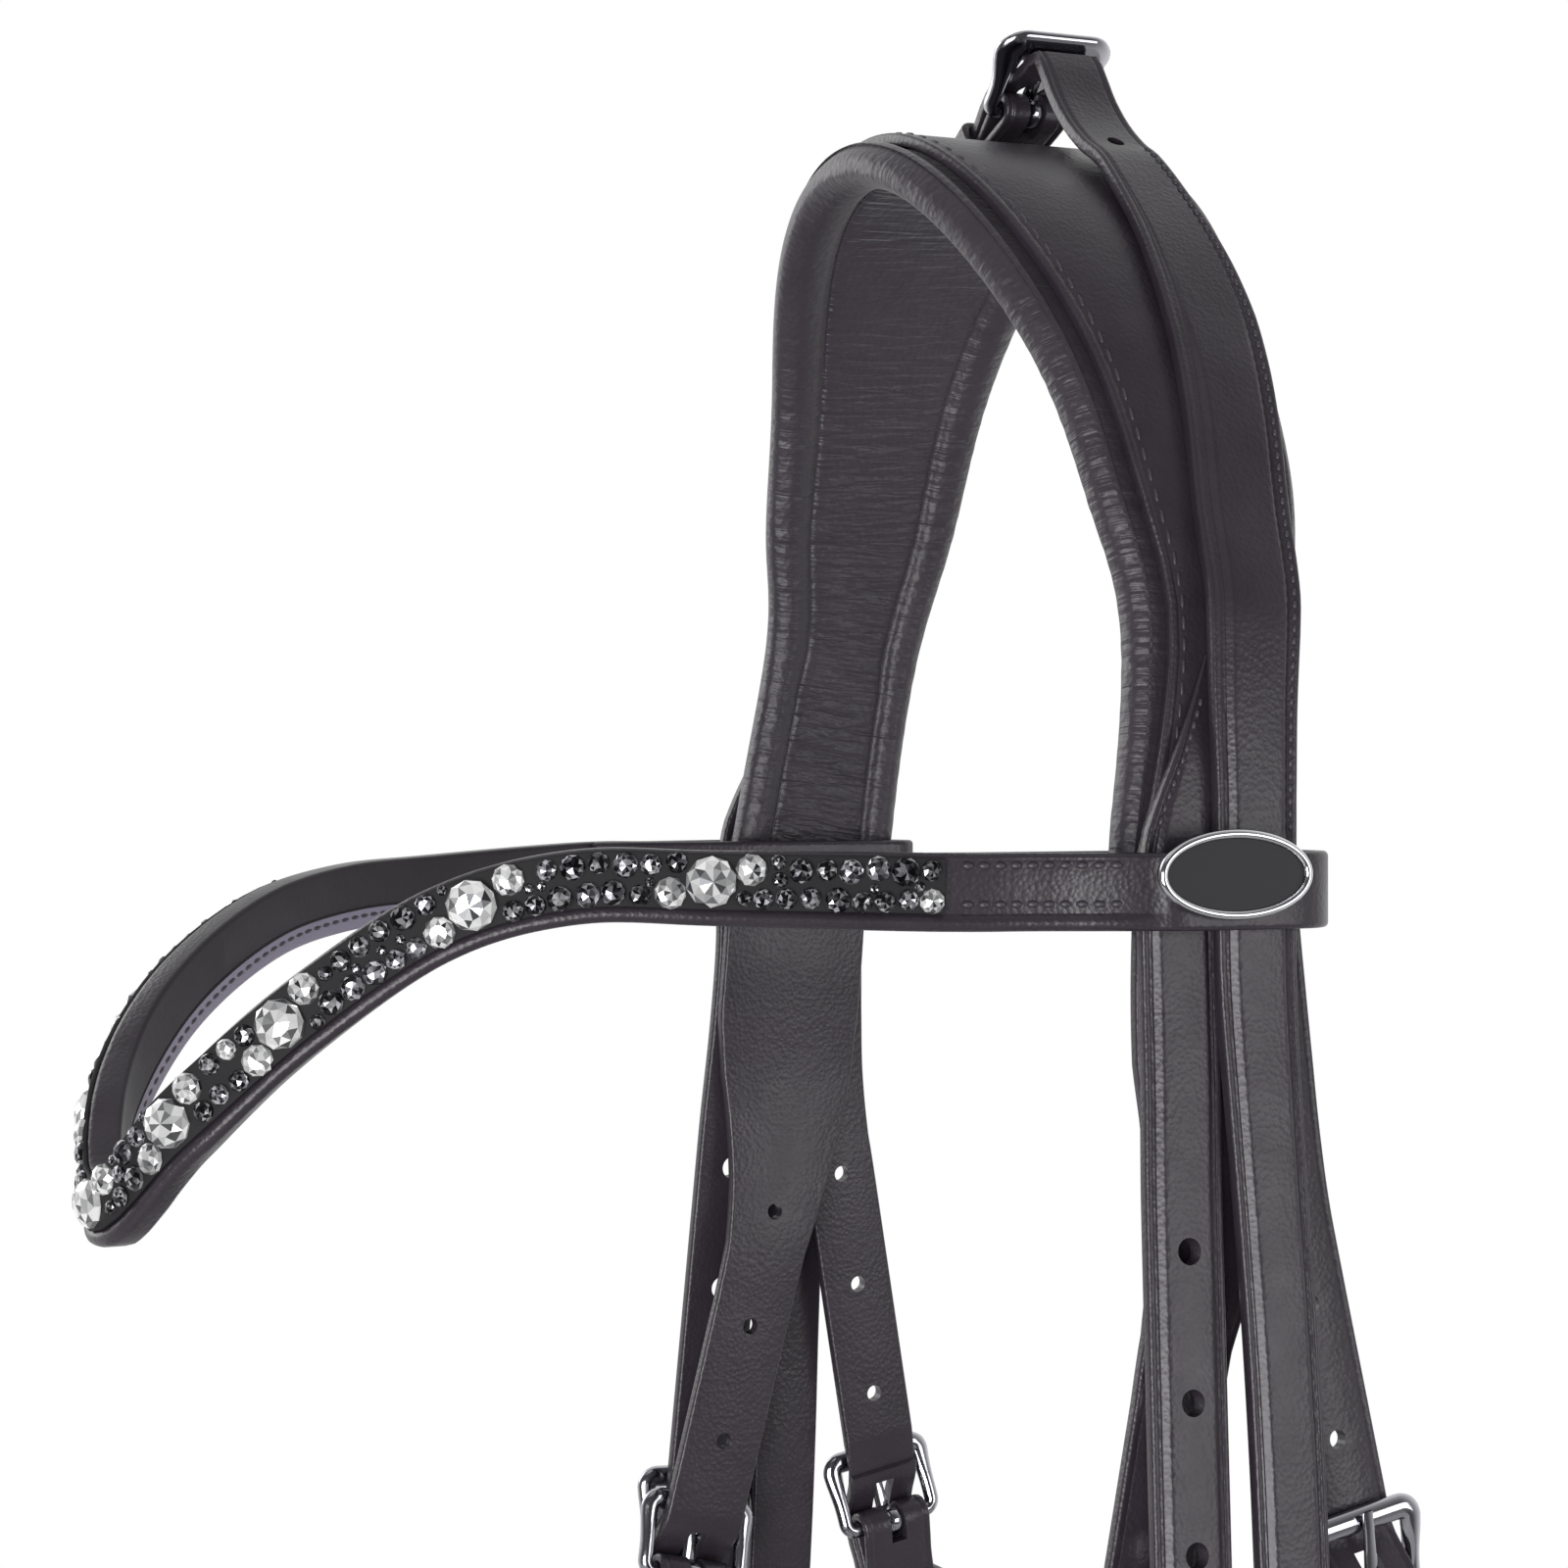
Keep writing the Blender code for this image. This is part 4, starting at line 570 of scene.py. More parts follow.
def raised_outline(width: Array, thickness: Array, rise: Array, share: float = 0.56) -> tuple[Array, Array]:
    """Return a padded strap's outline: raised middle, soft shoulders, stitch channel and round edges.

    The middle is a shallow crown, the shoulder a smoothstep down to the edge leather; its foot and a line
    pressed between foot and edge are V grooves.

    Args:
        width: half widths.
        thickness: half thicknesses.
        rise: height of the raised middle.
        share: its part of the width.

    Returns:
        Positions across and out, one row a station.
    """
    w, h, up = width[:, None], thickness[:, None], rise[:, None]
    r = np.minimum(0.55 * MM, h * 0.85)
    panel = w * share
    foot = panel + np.minimum(1.2 * MM, (w - panel) * 0.45)
    climb = np.array([[0, 0.2, 0.4, 0.6, 0.8, 1]])
    crown = np.array([[0.05, 0.35, 0.65, 0.88]])
    turn = np.radians([90, 60, 30, 0])[None]
    fall = 1 - climb * climb * (3 - 2 * climb)
    line = np.array([[0.3, 0.5, 0.7]])
    droop, foot_groove, line_groove = 0.12, 0.16 * MM, 0.14 * MM
    across = np.hstack([panel * crown, panel + (foot - panel) * climb, foot + (w - r - foot) * line,
                        w - r + r * np.cos(turn), w - r + r * np.cos(turn[:, ::-1])])
    out = np.hstack([h + up * (1 - droop * crown ** 2),
                     h + up * (1 - droop) * fall - foot_groove * (climb > 0.9),
                     h - line_groove * (line == 0.5), h - r + r * np.sin(turn),
                     -h + r - r * np.sin(turn[:, ::-1])])
    return both_halves(across, out)


def rolled_outline(width: Array, roll: ArrayLike, depth: Array, inner: tuple, steps: int,
                   lift: ArrayLike = 0.0) -> tuple[Array, Array]:
    """Return a pad's closed outline: a fat roll at each edge, a drawn-in seam and a flat face.

    Args:
        width: half widths, one row a station.
        roll: the roll's width.
        depth: the pad's depth.
        inner: points from the seam on, as shares of roll and depth.
        steps: curve points for each point of the outline.
        lift: how far the roll stands over the outer face.

    Returns:
        Positions across and out, one row a station.
    """
    shares = np.array(PAD_ROLL + inner)
    across = roll * shares[:, 0] - width
    out = depth * shares[:, 1]
    out[:, 1:2] += lift
    across, out = both_halves(across, out)
    return closed_curve(across, steps), closed_curve(out, steps)


def peg(centre: Array, axis: Array, radius: float, reach: float, sides: int = 24) -> Shell:
    """Return a round cutter about an axis, reach either side of the centre."""
    axis = unit(np.asarray(axis, dtype=float))
    first = unit(np.cross(axis, SIDEWAYS + axis[::-1] * 0.3))
    second = np.cross(axis, first)
    turn = circle(sides)[:, None]
    ring = radius * (np.cos(turn) * first + np.sin(turn) * second)
    return skin(np.stack([centre - axis * reach + ring, centre + axis * reach + ring]))


@dataclass(frozen=True)
class HeadShape:
    """The path all straps follow: a half ellipse over the poll, then legs that flare outwards."""

    half_span: float = 68.5 * MM
    rise: float = 124 * MM
    pad: float = 7 * MM
    flare: float = math.radians(6.5)
    flare_run: float = 30 * MM
    leg: float = 330 * MM

    def __post_init__(self) -> None:
        """Tabulate arc length, X and Z from the far end over the crown to the near end."""
        turn = np.linspace(0, math.pi / 2, 181)
        down = np.linspace(0, self.leg, 181)[1:]
        lean = self.flare * ease(down, [0, self.flare_run], [0, 1])
        x = self.half_span * np.sin(turn)
        z = self.brow_z + self.rise * np.cos(turn)
        x = np.concatenate([x, x[-1] + np.cumsum(np.sin(lean)) * down[0]])
        z = np.concatenate([z, z[-1] - np.cumsum(np.cos(lean)) * down[0]])
        s = np.concatenate([[0], np.cumsum(np.hypot(np.diff(x), np.diff(z)))])
        signed = ((-1, s), (-1, x), (1, z))
        table = tuple(np.concatenate([sign * column[:0:-1], column]) for sign, column in signed)
        object.__setattr__(self, "table", table)
        object.__setattr__(self, "brow", float(s[180]))

    @property
    def brow_z(self) -> float:
        """Return the browband's level."""
        return self.pad - self.rise

    def point(self, s: ArrayLike, y: ArrayLike, n: ArrayLike) -> Array:
        """Return points on the straps' path.

        Args:
            s: arc length from the crown, negative on the far side.
            y: distance behind the browband's middle.
            n: distance out from the path, along its normal.

        Returns:
            The points, one a row.
        """
        s, y, n = np.broadcast_arrays(np.asarray(s, dtype=float), y, n)
        arc, x, z = self.table
        run_x = np.interp(s + MM, arc, x) - np.interp(s - MM, arc, x)
        run_z = np.interp(s + MM, arc, z) - np.interp(s - MM, arc, z)
        length = np.hypot(run_x, run_z)
        return np.stack([np.interp(s, arc, x) - n * run_z / length, y,
                         np.interp(s, arc, z) + n * run_x / length], axis=-1)

    def below_brow(self, drop: ArrayLike, y: ArrayLike, n: ArrayLike) -> Array:
        """Return points at a drop below the browband along the near leg."""
        return self.point(self.brow + np.asarray(drop, dtype=float), y, n)

    def depth(self, s: ArrayLike) -> Array:
        """Return how far the path at arc length s lies below the crown."""
        return self.pad - self.point(s, 0, 0)[..., 2]


@dataclass
class Seat:
    """A buckle's place: heel bar centre, with axes down the strap, across it and out from the horse."""

    heel: ArrayLike
    down: ArrayLike
    across: ArrayLike

    def __post_init__(self) -> None:
        """Square the axes to each other, at length one."""
        self.heel = np.asarray(self.heel, dtype=float)
        self.down = unit(np.asarray(self.down, dtype=float))
        across = np.asarray(self.across, dtype=float)
        self.across = unit(across - np.dot(across, self.down) * self.down)
        self.out = np.cross(self.down, self.across)

    def at(self, down: ArrayLike, across: ArrayLike, out: ArrayLike) -> Array:
        """Return points given along the seat's three axes."""
        down, across, out = np.broadcast_arrays(np.asarray(down, dtype=float), across, out)
        return (self.heel + down[..., None] * self.down + across[..., None] * self.across
                + out[..., None] * self.out)

    def along(self, route: tuple[Array, Array]) -> Array:
        """Return the points of a route, given as down and out positions of the strap's middle."""
        return self.at(route[0], 0, route[1])


@dataclass(frozen=True)
class Buckle:
    """A stainless buckle with its tongue, and how the straps lie round its bars."""

    bar: float = 1.4 * MM
    length: float = 13 * MM
    side_gap: float = 0.6 * MM
    corner: float = 2 * MM
    tongue_thickness: float = 1.0 * MM
    tongue_width: float = 2.6 * MM
    overhang: float = 1.6 * MM
    front_share: float = 0.45
    billet: float = 2.2 * MM
    lower: float = 1.6 * MM
    keeper_width: float = 6 * MM
    keeper_leather: float = 1.4 * MM
    keeper_drop: float = 12 * MM
    runner_drop: float = 33 * MM
    used_hole: float = 4 * MM
    flat_from: float = 9 * MM
    tail_length: float = 46 * MM
    turn_back: float = 22 * MM
    slot_top: float = -8 * MM
    slot_reach: float = 9 * MM
    slot_foot: float = 3.6 * MM
    slot_end: float = 1.1 * MM
    slot_depth: float = -2 * MM
    fold_inside: float = -1.75 * MM
    fold_outside: float = 1.45 * MM

    @property
    def fold(self) -> float:
        """Return the radius of the strap's middle as it folds round the heel bar."""
        return self.bar + CLEAR + self.lower / 2

    @property
    def lift(self) -> float:
        """Return how far the front bar stands out from the heel bar."""
        return self.billet / 2 + CLEAR + self.bar

    @property
    def main(self) -> float:
        """Return the outer layer's middle below the fold."""
        return self.lower / 2

    @property
    def back(self) -> float:
        """Return the inner layer's middle below the fold."""
        return -self.lower / 2 - CLEAR

    @property
    def tail(self) -> float:
        """Return the billet tail's middle, where it lies on the folded strap."""
        return self.main + self.lower / 2 + CLEAR + self.billet / 2

    @property
    def over(self) -> float:
        """Return the billet's middle as it passes over the fold."""
        return self.fold + self.lower / 2 + CLEAR + self.billet / 2

    def fold_route(self, turn_back: float | None = None) -> tuple[Array, Array]:
        """Return down and out positions of a strap up inside, round the bar and down outside."""
        turn_back = turn_back or self.turn_back
        turn = np.radians(np.linspace(-90, 90, 9))
        half_way = self.flat_from / 2
        start = [turn_back, self.flat_from] if turn_back > self.flat_from else [turn_back]
        down = np.concatenate([start, [half_way], -self.fold * np.cos(turn), [half_way, self.flat_from]])
        out = np.concatenate([[self.back] * len(start), [self.fold_inside], self.fold * np.sin(turn),
                              [self.fold_outside, self.main]])
        return down, out

    def billet_route(self, tail: float) -> tuple[Array, Array]:
        """Return down and out positions of a billet under the front bar and over the fold."""
        down = np.array([-17, -12, -10.5, -8.5, -6.5, -4.5, -2.5, -0.6, 1.4, 4, 7, 10]) * MM
        out = ease(down, [-11 * MM, -0.6 * MM, 1.4 * MM, self.flat_from],
                   [0, self.over, self.over, self.tail])
        ends = np.concatenate([np.arange(15 * MM, tail - 6 * MM, 8 * MM), [tail - 4 * MM, tail]])
        return np.concatenate([down, ends]), np.concatenate([out, np.full(len(ends), self.tail)])

    def slot(self, seat: Seat, start: float, end: float, half: float, low: float, high: float) -> Shell:
        """Return a box cutter in the seat's axes, for the slot that the tongue passes through."""
        corners = np.array([[-1, -1], [1, -1], [1, 1], [-1, 1]], dtype=float)
        rings = [seat.at(down, corners[:, 0] * half, (low + high) / 2 + corners[:, 1] * (high - low) / 2)
                 for down in (start, end)]
        return skin(np.stack(rings))

    def billet_slot(self, seat: Seat) -> Shell:
        """Return the cutter of the hole in use, drawn out by the tongue."""
        half = self.tongue_width / 2 + 2 * CLEAR
        return self.slot(seat, self.slot_top, self.slot_end, half, self.slot_depth, self.slot_reach)

    def fold_slot(self, seat: Seat) -> Shell:
        """Return the cutter of the slot that lets the tongue turn on the bar."""
        reach = self.fold + self.lower
        return self.slot(seat, -reach, self.slot_foot, self.tongue_width / 2 + CLEAR, -reach, reach)

    def band_slot(self, seat: Seat) -> Shell:
        """Return the cutter of one slot through both the fold and the hole in use."""
        reach = self.fold + self.lower
        half = self.tongue_width / 2 + CLEAR
        return self.slot(seat, self.slot_top, self.slot_foot, half, -reach, self.slot_reach)

    def holes(self, seat: Seat, size: float, pitch: float, count: int = 3) -> list[Shell]:
        """Return the cutters of the spare holes over the buckle and of the hole in use."""
        spare = [peg(seat.at(-self.used_hole - pitch * (index + 1), 0, 0), seat.out, size / 2, 4 * MM)
                 for index in range(count)]
        return spare + [self.billet_slot(seat)]

    def frame(self, seat: Seat, width: float) -> Shell:
        """Return the frame: an oval bar round a rectangle with round corners, its front raised and broad.

        The bar's half sizes grow to the front's flat oval as a smoothstep.
        """
        half = width / 2 + self.side_gap + self.bar
        turn = np.linspace(0, math.pi / 2, 9)
        rise, fall = self.corner * (1 - np.cos(turn)), self.corner * (1 - np.sin(turn))
        middle = np.linspace(-self.corner, self.corner - self.length, 7)[1:-1]
        down = np.concatenate([-rise, middle, fall - self.length])
        across = half - np.concatenate([fall, np.zeros(len(middle)), rise])
        bars = np.linspace(0.85, -0.85, 5) * (half - self.corner)
        down = np.concatenate([down, np.full(5, -self.length), down[::-1], np.zeros(5)])
        across = np.concatenate([across, bars, -across[::-1], -bars])
        front = ease(-down, [0.35 * self.length, self.length], [0, 1])
        points = seat.at(down, across, self.lift * ease(-down, [0, self.length], [0, 1]))
        wide, out = strap_axes(points, seat.out, closed=True)
        turn = circle(14)[None]
        tall = self.bar * (1 - 0.08 * front)[:, None]
        broad = self.bar * (1 + self.front_share * front)[:, None]
        return skin(sweep(points, tall * np.cos(turn), wide, broad * np.sin(turn), out), closed=True)

    def tongue(self, seat: Seat) -> Shell:
        """Return the tongue: a round-edged strip rolled round the heel bar and on to the front bar."""
        radius = self.bar + CLEAR + self.tongue_thickness / 2
        turn = np.radians(np.linspace(165, 450, 33))
        rest = self.lift + self.bar + CLEAR + self.tongue_thickness / 2
        shank = np.linspace(0, 1, 13)[1:]
        reach = self.length + self.overhang
        down = np.concatenate([radius * np.cos(turn), -reach * shank])
        climb = (rest - radius) * shank * reach / self.length
        out = np.concatenate([radius * np.sin(turn), radius + climb])
        points = seat.at(down, 0, out)
        across, up = strap_axes(points, seat.across)
        count = len(points)
        half = self.tongue_width / 2 * ease(np.arange(count), [0, len(turn), count - 1], [1, 1, 0.7])
        thick = self.tongue_thickness / 2 * ease(np.arange(count), [0, count - 3, count - 1], [1, 1, 0.6])
        turn = circle(12)
        wide = half[:, None] * np.sign(np.cos(turn)) * np.abs(np.cos(turn)) ** 0.6
        high = thick[:, None] * np.sign(np.sin(turn)) * np.abs(np.sin(turn)) ** 0.6
        return skin(sweep(points, wide, across, high, up))

    def keeper(self, seat: Seat, width: float, drop: float, low: float | None = None) -> Shell:
        """Return a leather loop: a round-edged strip round a rectangle that clears what is inside."""
        half = width / 2 + CLEAR + self.keeper_leather / 2
        low = (self.back - self.lower / 2 if low is None else low) - CLEAR - self.keeper_leather / 2
        high = self.tail + self.billet / 2 + CLEAR + self.keeper_leather / 2
        radius = self.keeper_leather
        turn = np.linspace(0, math.pi / 2, 6)
        half, low, high = half - radius, low + radius, high - radius
        centres = np.array([[half, high], [-half, high], [-half, low], [half, low]])
        angles = turn[None] + np.arange(4)[:, None] * math.pi / 2
        across = (centres[:, :1] + radius * np.cos(angles)).ravel()
        out = (centres[:, 1:] + radius * np.sin(angles)).ravel()
        points = seat.at(drop + self.keeper_width / 2, across, out)
        along, face = strap_axes(points, seat.down, closed=True)
        sizes = (np.full(len(points), size / 2) for size in (self.keeper_width, self.keeper_leather))
        wide, thick = plain_outline(*sizes, crease=1.0 * MM, groove=0.1 * MM, radius=0.45 * MM)
        return skin(sweep(points, wide, along, thick, face), closed=True)

    def dress(self, name: str, seat: Seat, width: float, wardrobe: Wardrobe, body: str, side: Side,
              runner: bool = False, low: float | None = None, drop: float | None = None) -> None:
        """Add a buckle's frame, tongue and keepers.

        Args:
            name: start of the pieces' names, such as near_cheek.
            seat: the buckle's near-side place.
            width: the strap's width.
            wardrobe: the finishes.
            body: CAD body of the frame and the fixed keeper.
            side: side of the horse.
            runner: whether there is a sliding keeper too.
            low: inner limit of what the fixed keeper holds, where it isn't a folded strap.
            drop: the fixed keeper's place, where it isn't the usual one.
        """
        steel, leather = wardrobe(wardrobe.steel), wardrobe(wardrobe.strap)
        build_piece(name + "_buckle_frame", self.frame(seat, width), steel, body, "steel", name + "_buckle",
                    side=side, crease=ROUND_ANGLE)
        build_piece(name + "_buckle_tongue", self.tongue(seat), steel, name + "_tongue", "steel",
                    name + "_tongue", side=side, crease=PLATE_ANGLE)
        fixed = self.keeper(seat, width, drop or self.keeper_drop, low)
        build_piece(name + "_fixed_keeper", fixed, leather, body, "leather", name + "_keeper", side=side)
        if runner:
            build_piece(name + "_sliding_keeper", self.keeper(seat, width, self.runner_drop), leather,
                        name + "_runner", "leather", name + "_runner", side=side)


@dataclass
class Strap:
    """A leather strap: its centre line, width directions and half sizes, each one value or one a point.

    rise is the height of a raised middle; a strap without it is plain.
    """

    points: Array
    hints: Array
    width: ArrayLike
    thickness: ArrayLike
    rise: Array | None = None
    spacing: float = 2.0 * MM

    def __post_init__(self) -> None:
        """Refine the stations and work out the strap's axes there."""
        rise = 0.0 if self.rise is None else self.rise
        columns = (self.width, self.thickness, rise)
        extras = np.column_stack([np.broadcast_to(column, len(self.points)) for column in columns])
        hints = np.broadcast_to(self.hints, self.points.shape)
        self.line, hints, extras = refine(self.points, hints, extras, self.spacing)
        self.half_width, self.half_thickness, self.lift = extras.T
        self.across, self.out = strap_axes(self.line, hints)

    def shell(self) -> Shell:
        """Return the strap's skin: its plain or raised outline carried along the centre line."""
        if self.rise is None:
            wide, high = plain_outline(self.half_width, self.half_thickness)
        else:
            wide, high = raised_outline(self.half_width, self.half_thickness, self.lift)
        return skin(sweep(self.line, wide, self.across, high, self.out))

    def arc_above(self, level: float) -> float:
        """Return the arc length at which the strap last stands above a level."""
        return float(arc_lengths(self.line)[np.flatnonzero(self.line[:, 2] > level)[-1]])

    def thin_start(self, reach: float, share: float) -> None:
        """Skive the strap's start to a share of its thickness, leaving the inner face."""
        part = np.interp(arc_lengths(self.line), [0, reach], [share, 1])
        self.line = self.line - self.out * (self.half_thickness * (1 - part))[:, None]
        self.half_thickness = self.half_thickness * part

    def stitches(self, inset: float, start: float, end: float, pitch: float = 3.4 * MM,
                 sides: Sequence[int] = (-1, 1), level: float = 0.0, bulk: float = 0.34 * MM) -> Shell:
        """Return a row of stitches along each chosen edge.

        Each stitch is a small ellipsoid, two thirds of the pitch long, sunk by half in the outer face.

        Args:
            inset: distance from the edge.
            start: arc length of the first stitch.
            end: arc length past the last one.
            pitch: stitch spacing; near 3.4 mm, about seven to the inch.
            sides: -1 for the edge against the width direction, 1 for the other.
            level: height over the outer face.
            bulk: half the thread's width.

        Returns:
            The stitches as one shell.
        """
        arc = arc_lengths(self.line)
        place = np.arange(start, min(end, arc[-1]), pitch)
        centre = read_at(place, arc, self.line)
        across, out = (unit(read_at(place, arc, axis)) for axis in (self.across, self.out))
        width, thick = np.interp(place, arc, self.half_width), np.interp(place, arc, self.half_thickness)
        forward = np.cross(across, out)
        turn = circle(6)
        lat = np.radians([-68, -36, 0, 36, 68])[:, None]
        size = (len(lat), len(turn))
        grid = np.stack([np.broadcast_to(np.sin(lat), size) * 0.36 * pitch,
                         np.cos(lat) * np.cos(turn) * bulk, np.cos(lat) * np.sin(turn) * 0.9 * bulk], axis=-1)
        form = skin(grid)[1]
        quads, caps = np.array(form[:-2]), np.array(form[-2:])
        first = (np.arange(len(place)) * lat.size * turn.size)[:, None, None]
        faces = (quads + first).reshape(-1, 4).tolist() + (caps + first).reshape(-1, turn.size).tolist()
        axes = np.stack([forward, across, out], axis=1)
        shells = []
        for side in sides:
            middle = centre + across * (side * (width - inset))[:, None] + out * (thick + level)[:, None]
            rings = middle[:, None, None] + np.einsum("rsk,nkx->nrsx", grid, axes)
            shells.append((rings.reshape(-1, 3), faces))
        return join(shells)


@dataclass
class Bridle:
    """What every sub-assembly shares: the head's shape, the buckle, the finishes and the layers."""

    head: HeadShape = field(default_factory=HeadShape)
    buckle: Buckle = field(default_factory=Buckle)
    wardrobe: Wardrobe = field(default_factory=Wardrobe)
    strap_width: float = 16 * MM
    throat_width: float = 15 * MM
    leather: float = 2.2 * MM
    panel_rise: float = 0.8 * MM
    carrier_leather: float = 2.4 * MM
    cheek_drop: float = 131 * MM
    hanger_drop: float = 129 * MM
    noseband_drop: float = 271 * MM
    small_hole: float = 3 * MM
    large_hole: float = 4.2 * MM
    small_pitch: float = 21.8 * MM
    large_pitch: float = 23 * MM
    fold_ease: float = 0.4 * MM
    lean_run: float = 60 * MM
    noseband_lap: float = 11 * MM
    stitch_stop: float = 7 * MM
    fine_pitch: float = 2 * MM

    @property
    def stitch_end(self) -> float:
        """Return the level, just over the browband, where the fine stitching ends."""
        return self.head.brow_z + self.stitch_stop

    @property
    def second_layer(self) -> float:
        """Return the inner face of what lies on the headpiece leather."""
        return self.leather + 2 * CLEAR

    @property
    def third_layer(self) -> float:
        """Return the inner face of the carrier where it crosses the hanger."""
        return self.second_layer + self.leather + CLEAR + self.panel_rise * 0.2

    @property
    def carrier_end(self) -> float:
        """Return the inner face of the carrier's lower end."""
        return self.second_layer + self.leather * 0.36

    def leg_seat(self, drop: float, y: float, n: float, up_drop: float, up_y: float, up_n: float) -> Seat:
        """Return the seat at the end of a strap from an upper point, both below the browband."""
        heel = self.head.below_brow(drop, y, n)
        return Seat(heel, heel - self.head.below_brow(up_drop, up_y, up_n), SIDEWAYS)

    def billet_line(self, lead: Array, seat: Seat) -> tuple[Array, Array]:
        """Return points and width directions from free points through a buckle to the billet's tail."""
        route = seat.along(self.buckle.billet_route(self.buckle.tail_length))
        hints = repeat_rows((SIDEWAYS, len(lead)), (seat.across, len(route)))
        return np.vstack([lead, route]), hints

    def billet(self, lead: Array, seat: Seat, width: float, rise: Array | None = None) -> Strap:
        """Return a billet strap: free points, then the route through its buckle to a drawn-in tail.

        Args:
            lead: free points above the buckle.
            seat: the buckle's place.
            width: strap width.
            rise: raised middle at the free points, for a padded strap.

        Returns:
            The strap.
        """
        points, hints = self.billet_line(lead, seat)
        half = np.full(len(points), width / 2)
        half[-1] *= TAIL_TAPER
        route = len(points) - len(lead)
        lift = None if rise is None else np.concatenate([rise, [rise[-1]], np.zeros(route - 1)])
        return Strap(points, hints, half, self.leather / 2, lift)

    def folded(self, points: Array, hints: Array, width: float, spacing: float = 1.6 * MM) -> Strap:
        """Return a plain lower strap, a little narrower than the buckle that it folds round."""
        return Strap(points, hints, width / 2 - self.fold_ease, self.buckle.lower / 2, spacing=spacing)

    def cut_strap(self, name: str, strap: Strap, body: str, node: str, cuts: Sequence[Shell],
                  side: Side = Side.NEAR) -> None:
        """Add a strap as the leather piece that stands for a CAD node, with its cuts."""
        leather = self.wardrobe(self.wardrobe.strap)
        build_piece(name, strap.shell(), leather, body, "leather", node, side=side, cuts=cuts)

    def stitch(self, name: str, body: str, side: Side, *rows: Shell) -> None:
        """Add rows of stitches as one piece on a body."""
        build_piece(name + "_stitching", join(rows), self.wardrobe(self.wardrobe.thread), body, "leather",
                    side=side, crease=THREAD_ANGLE)


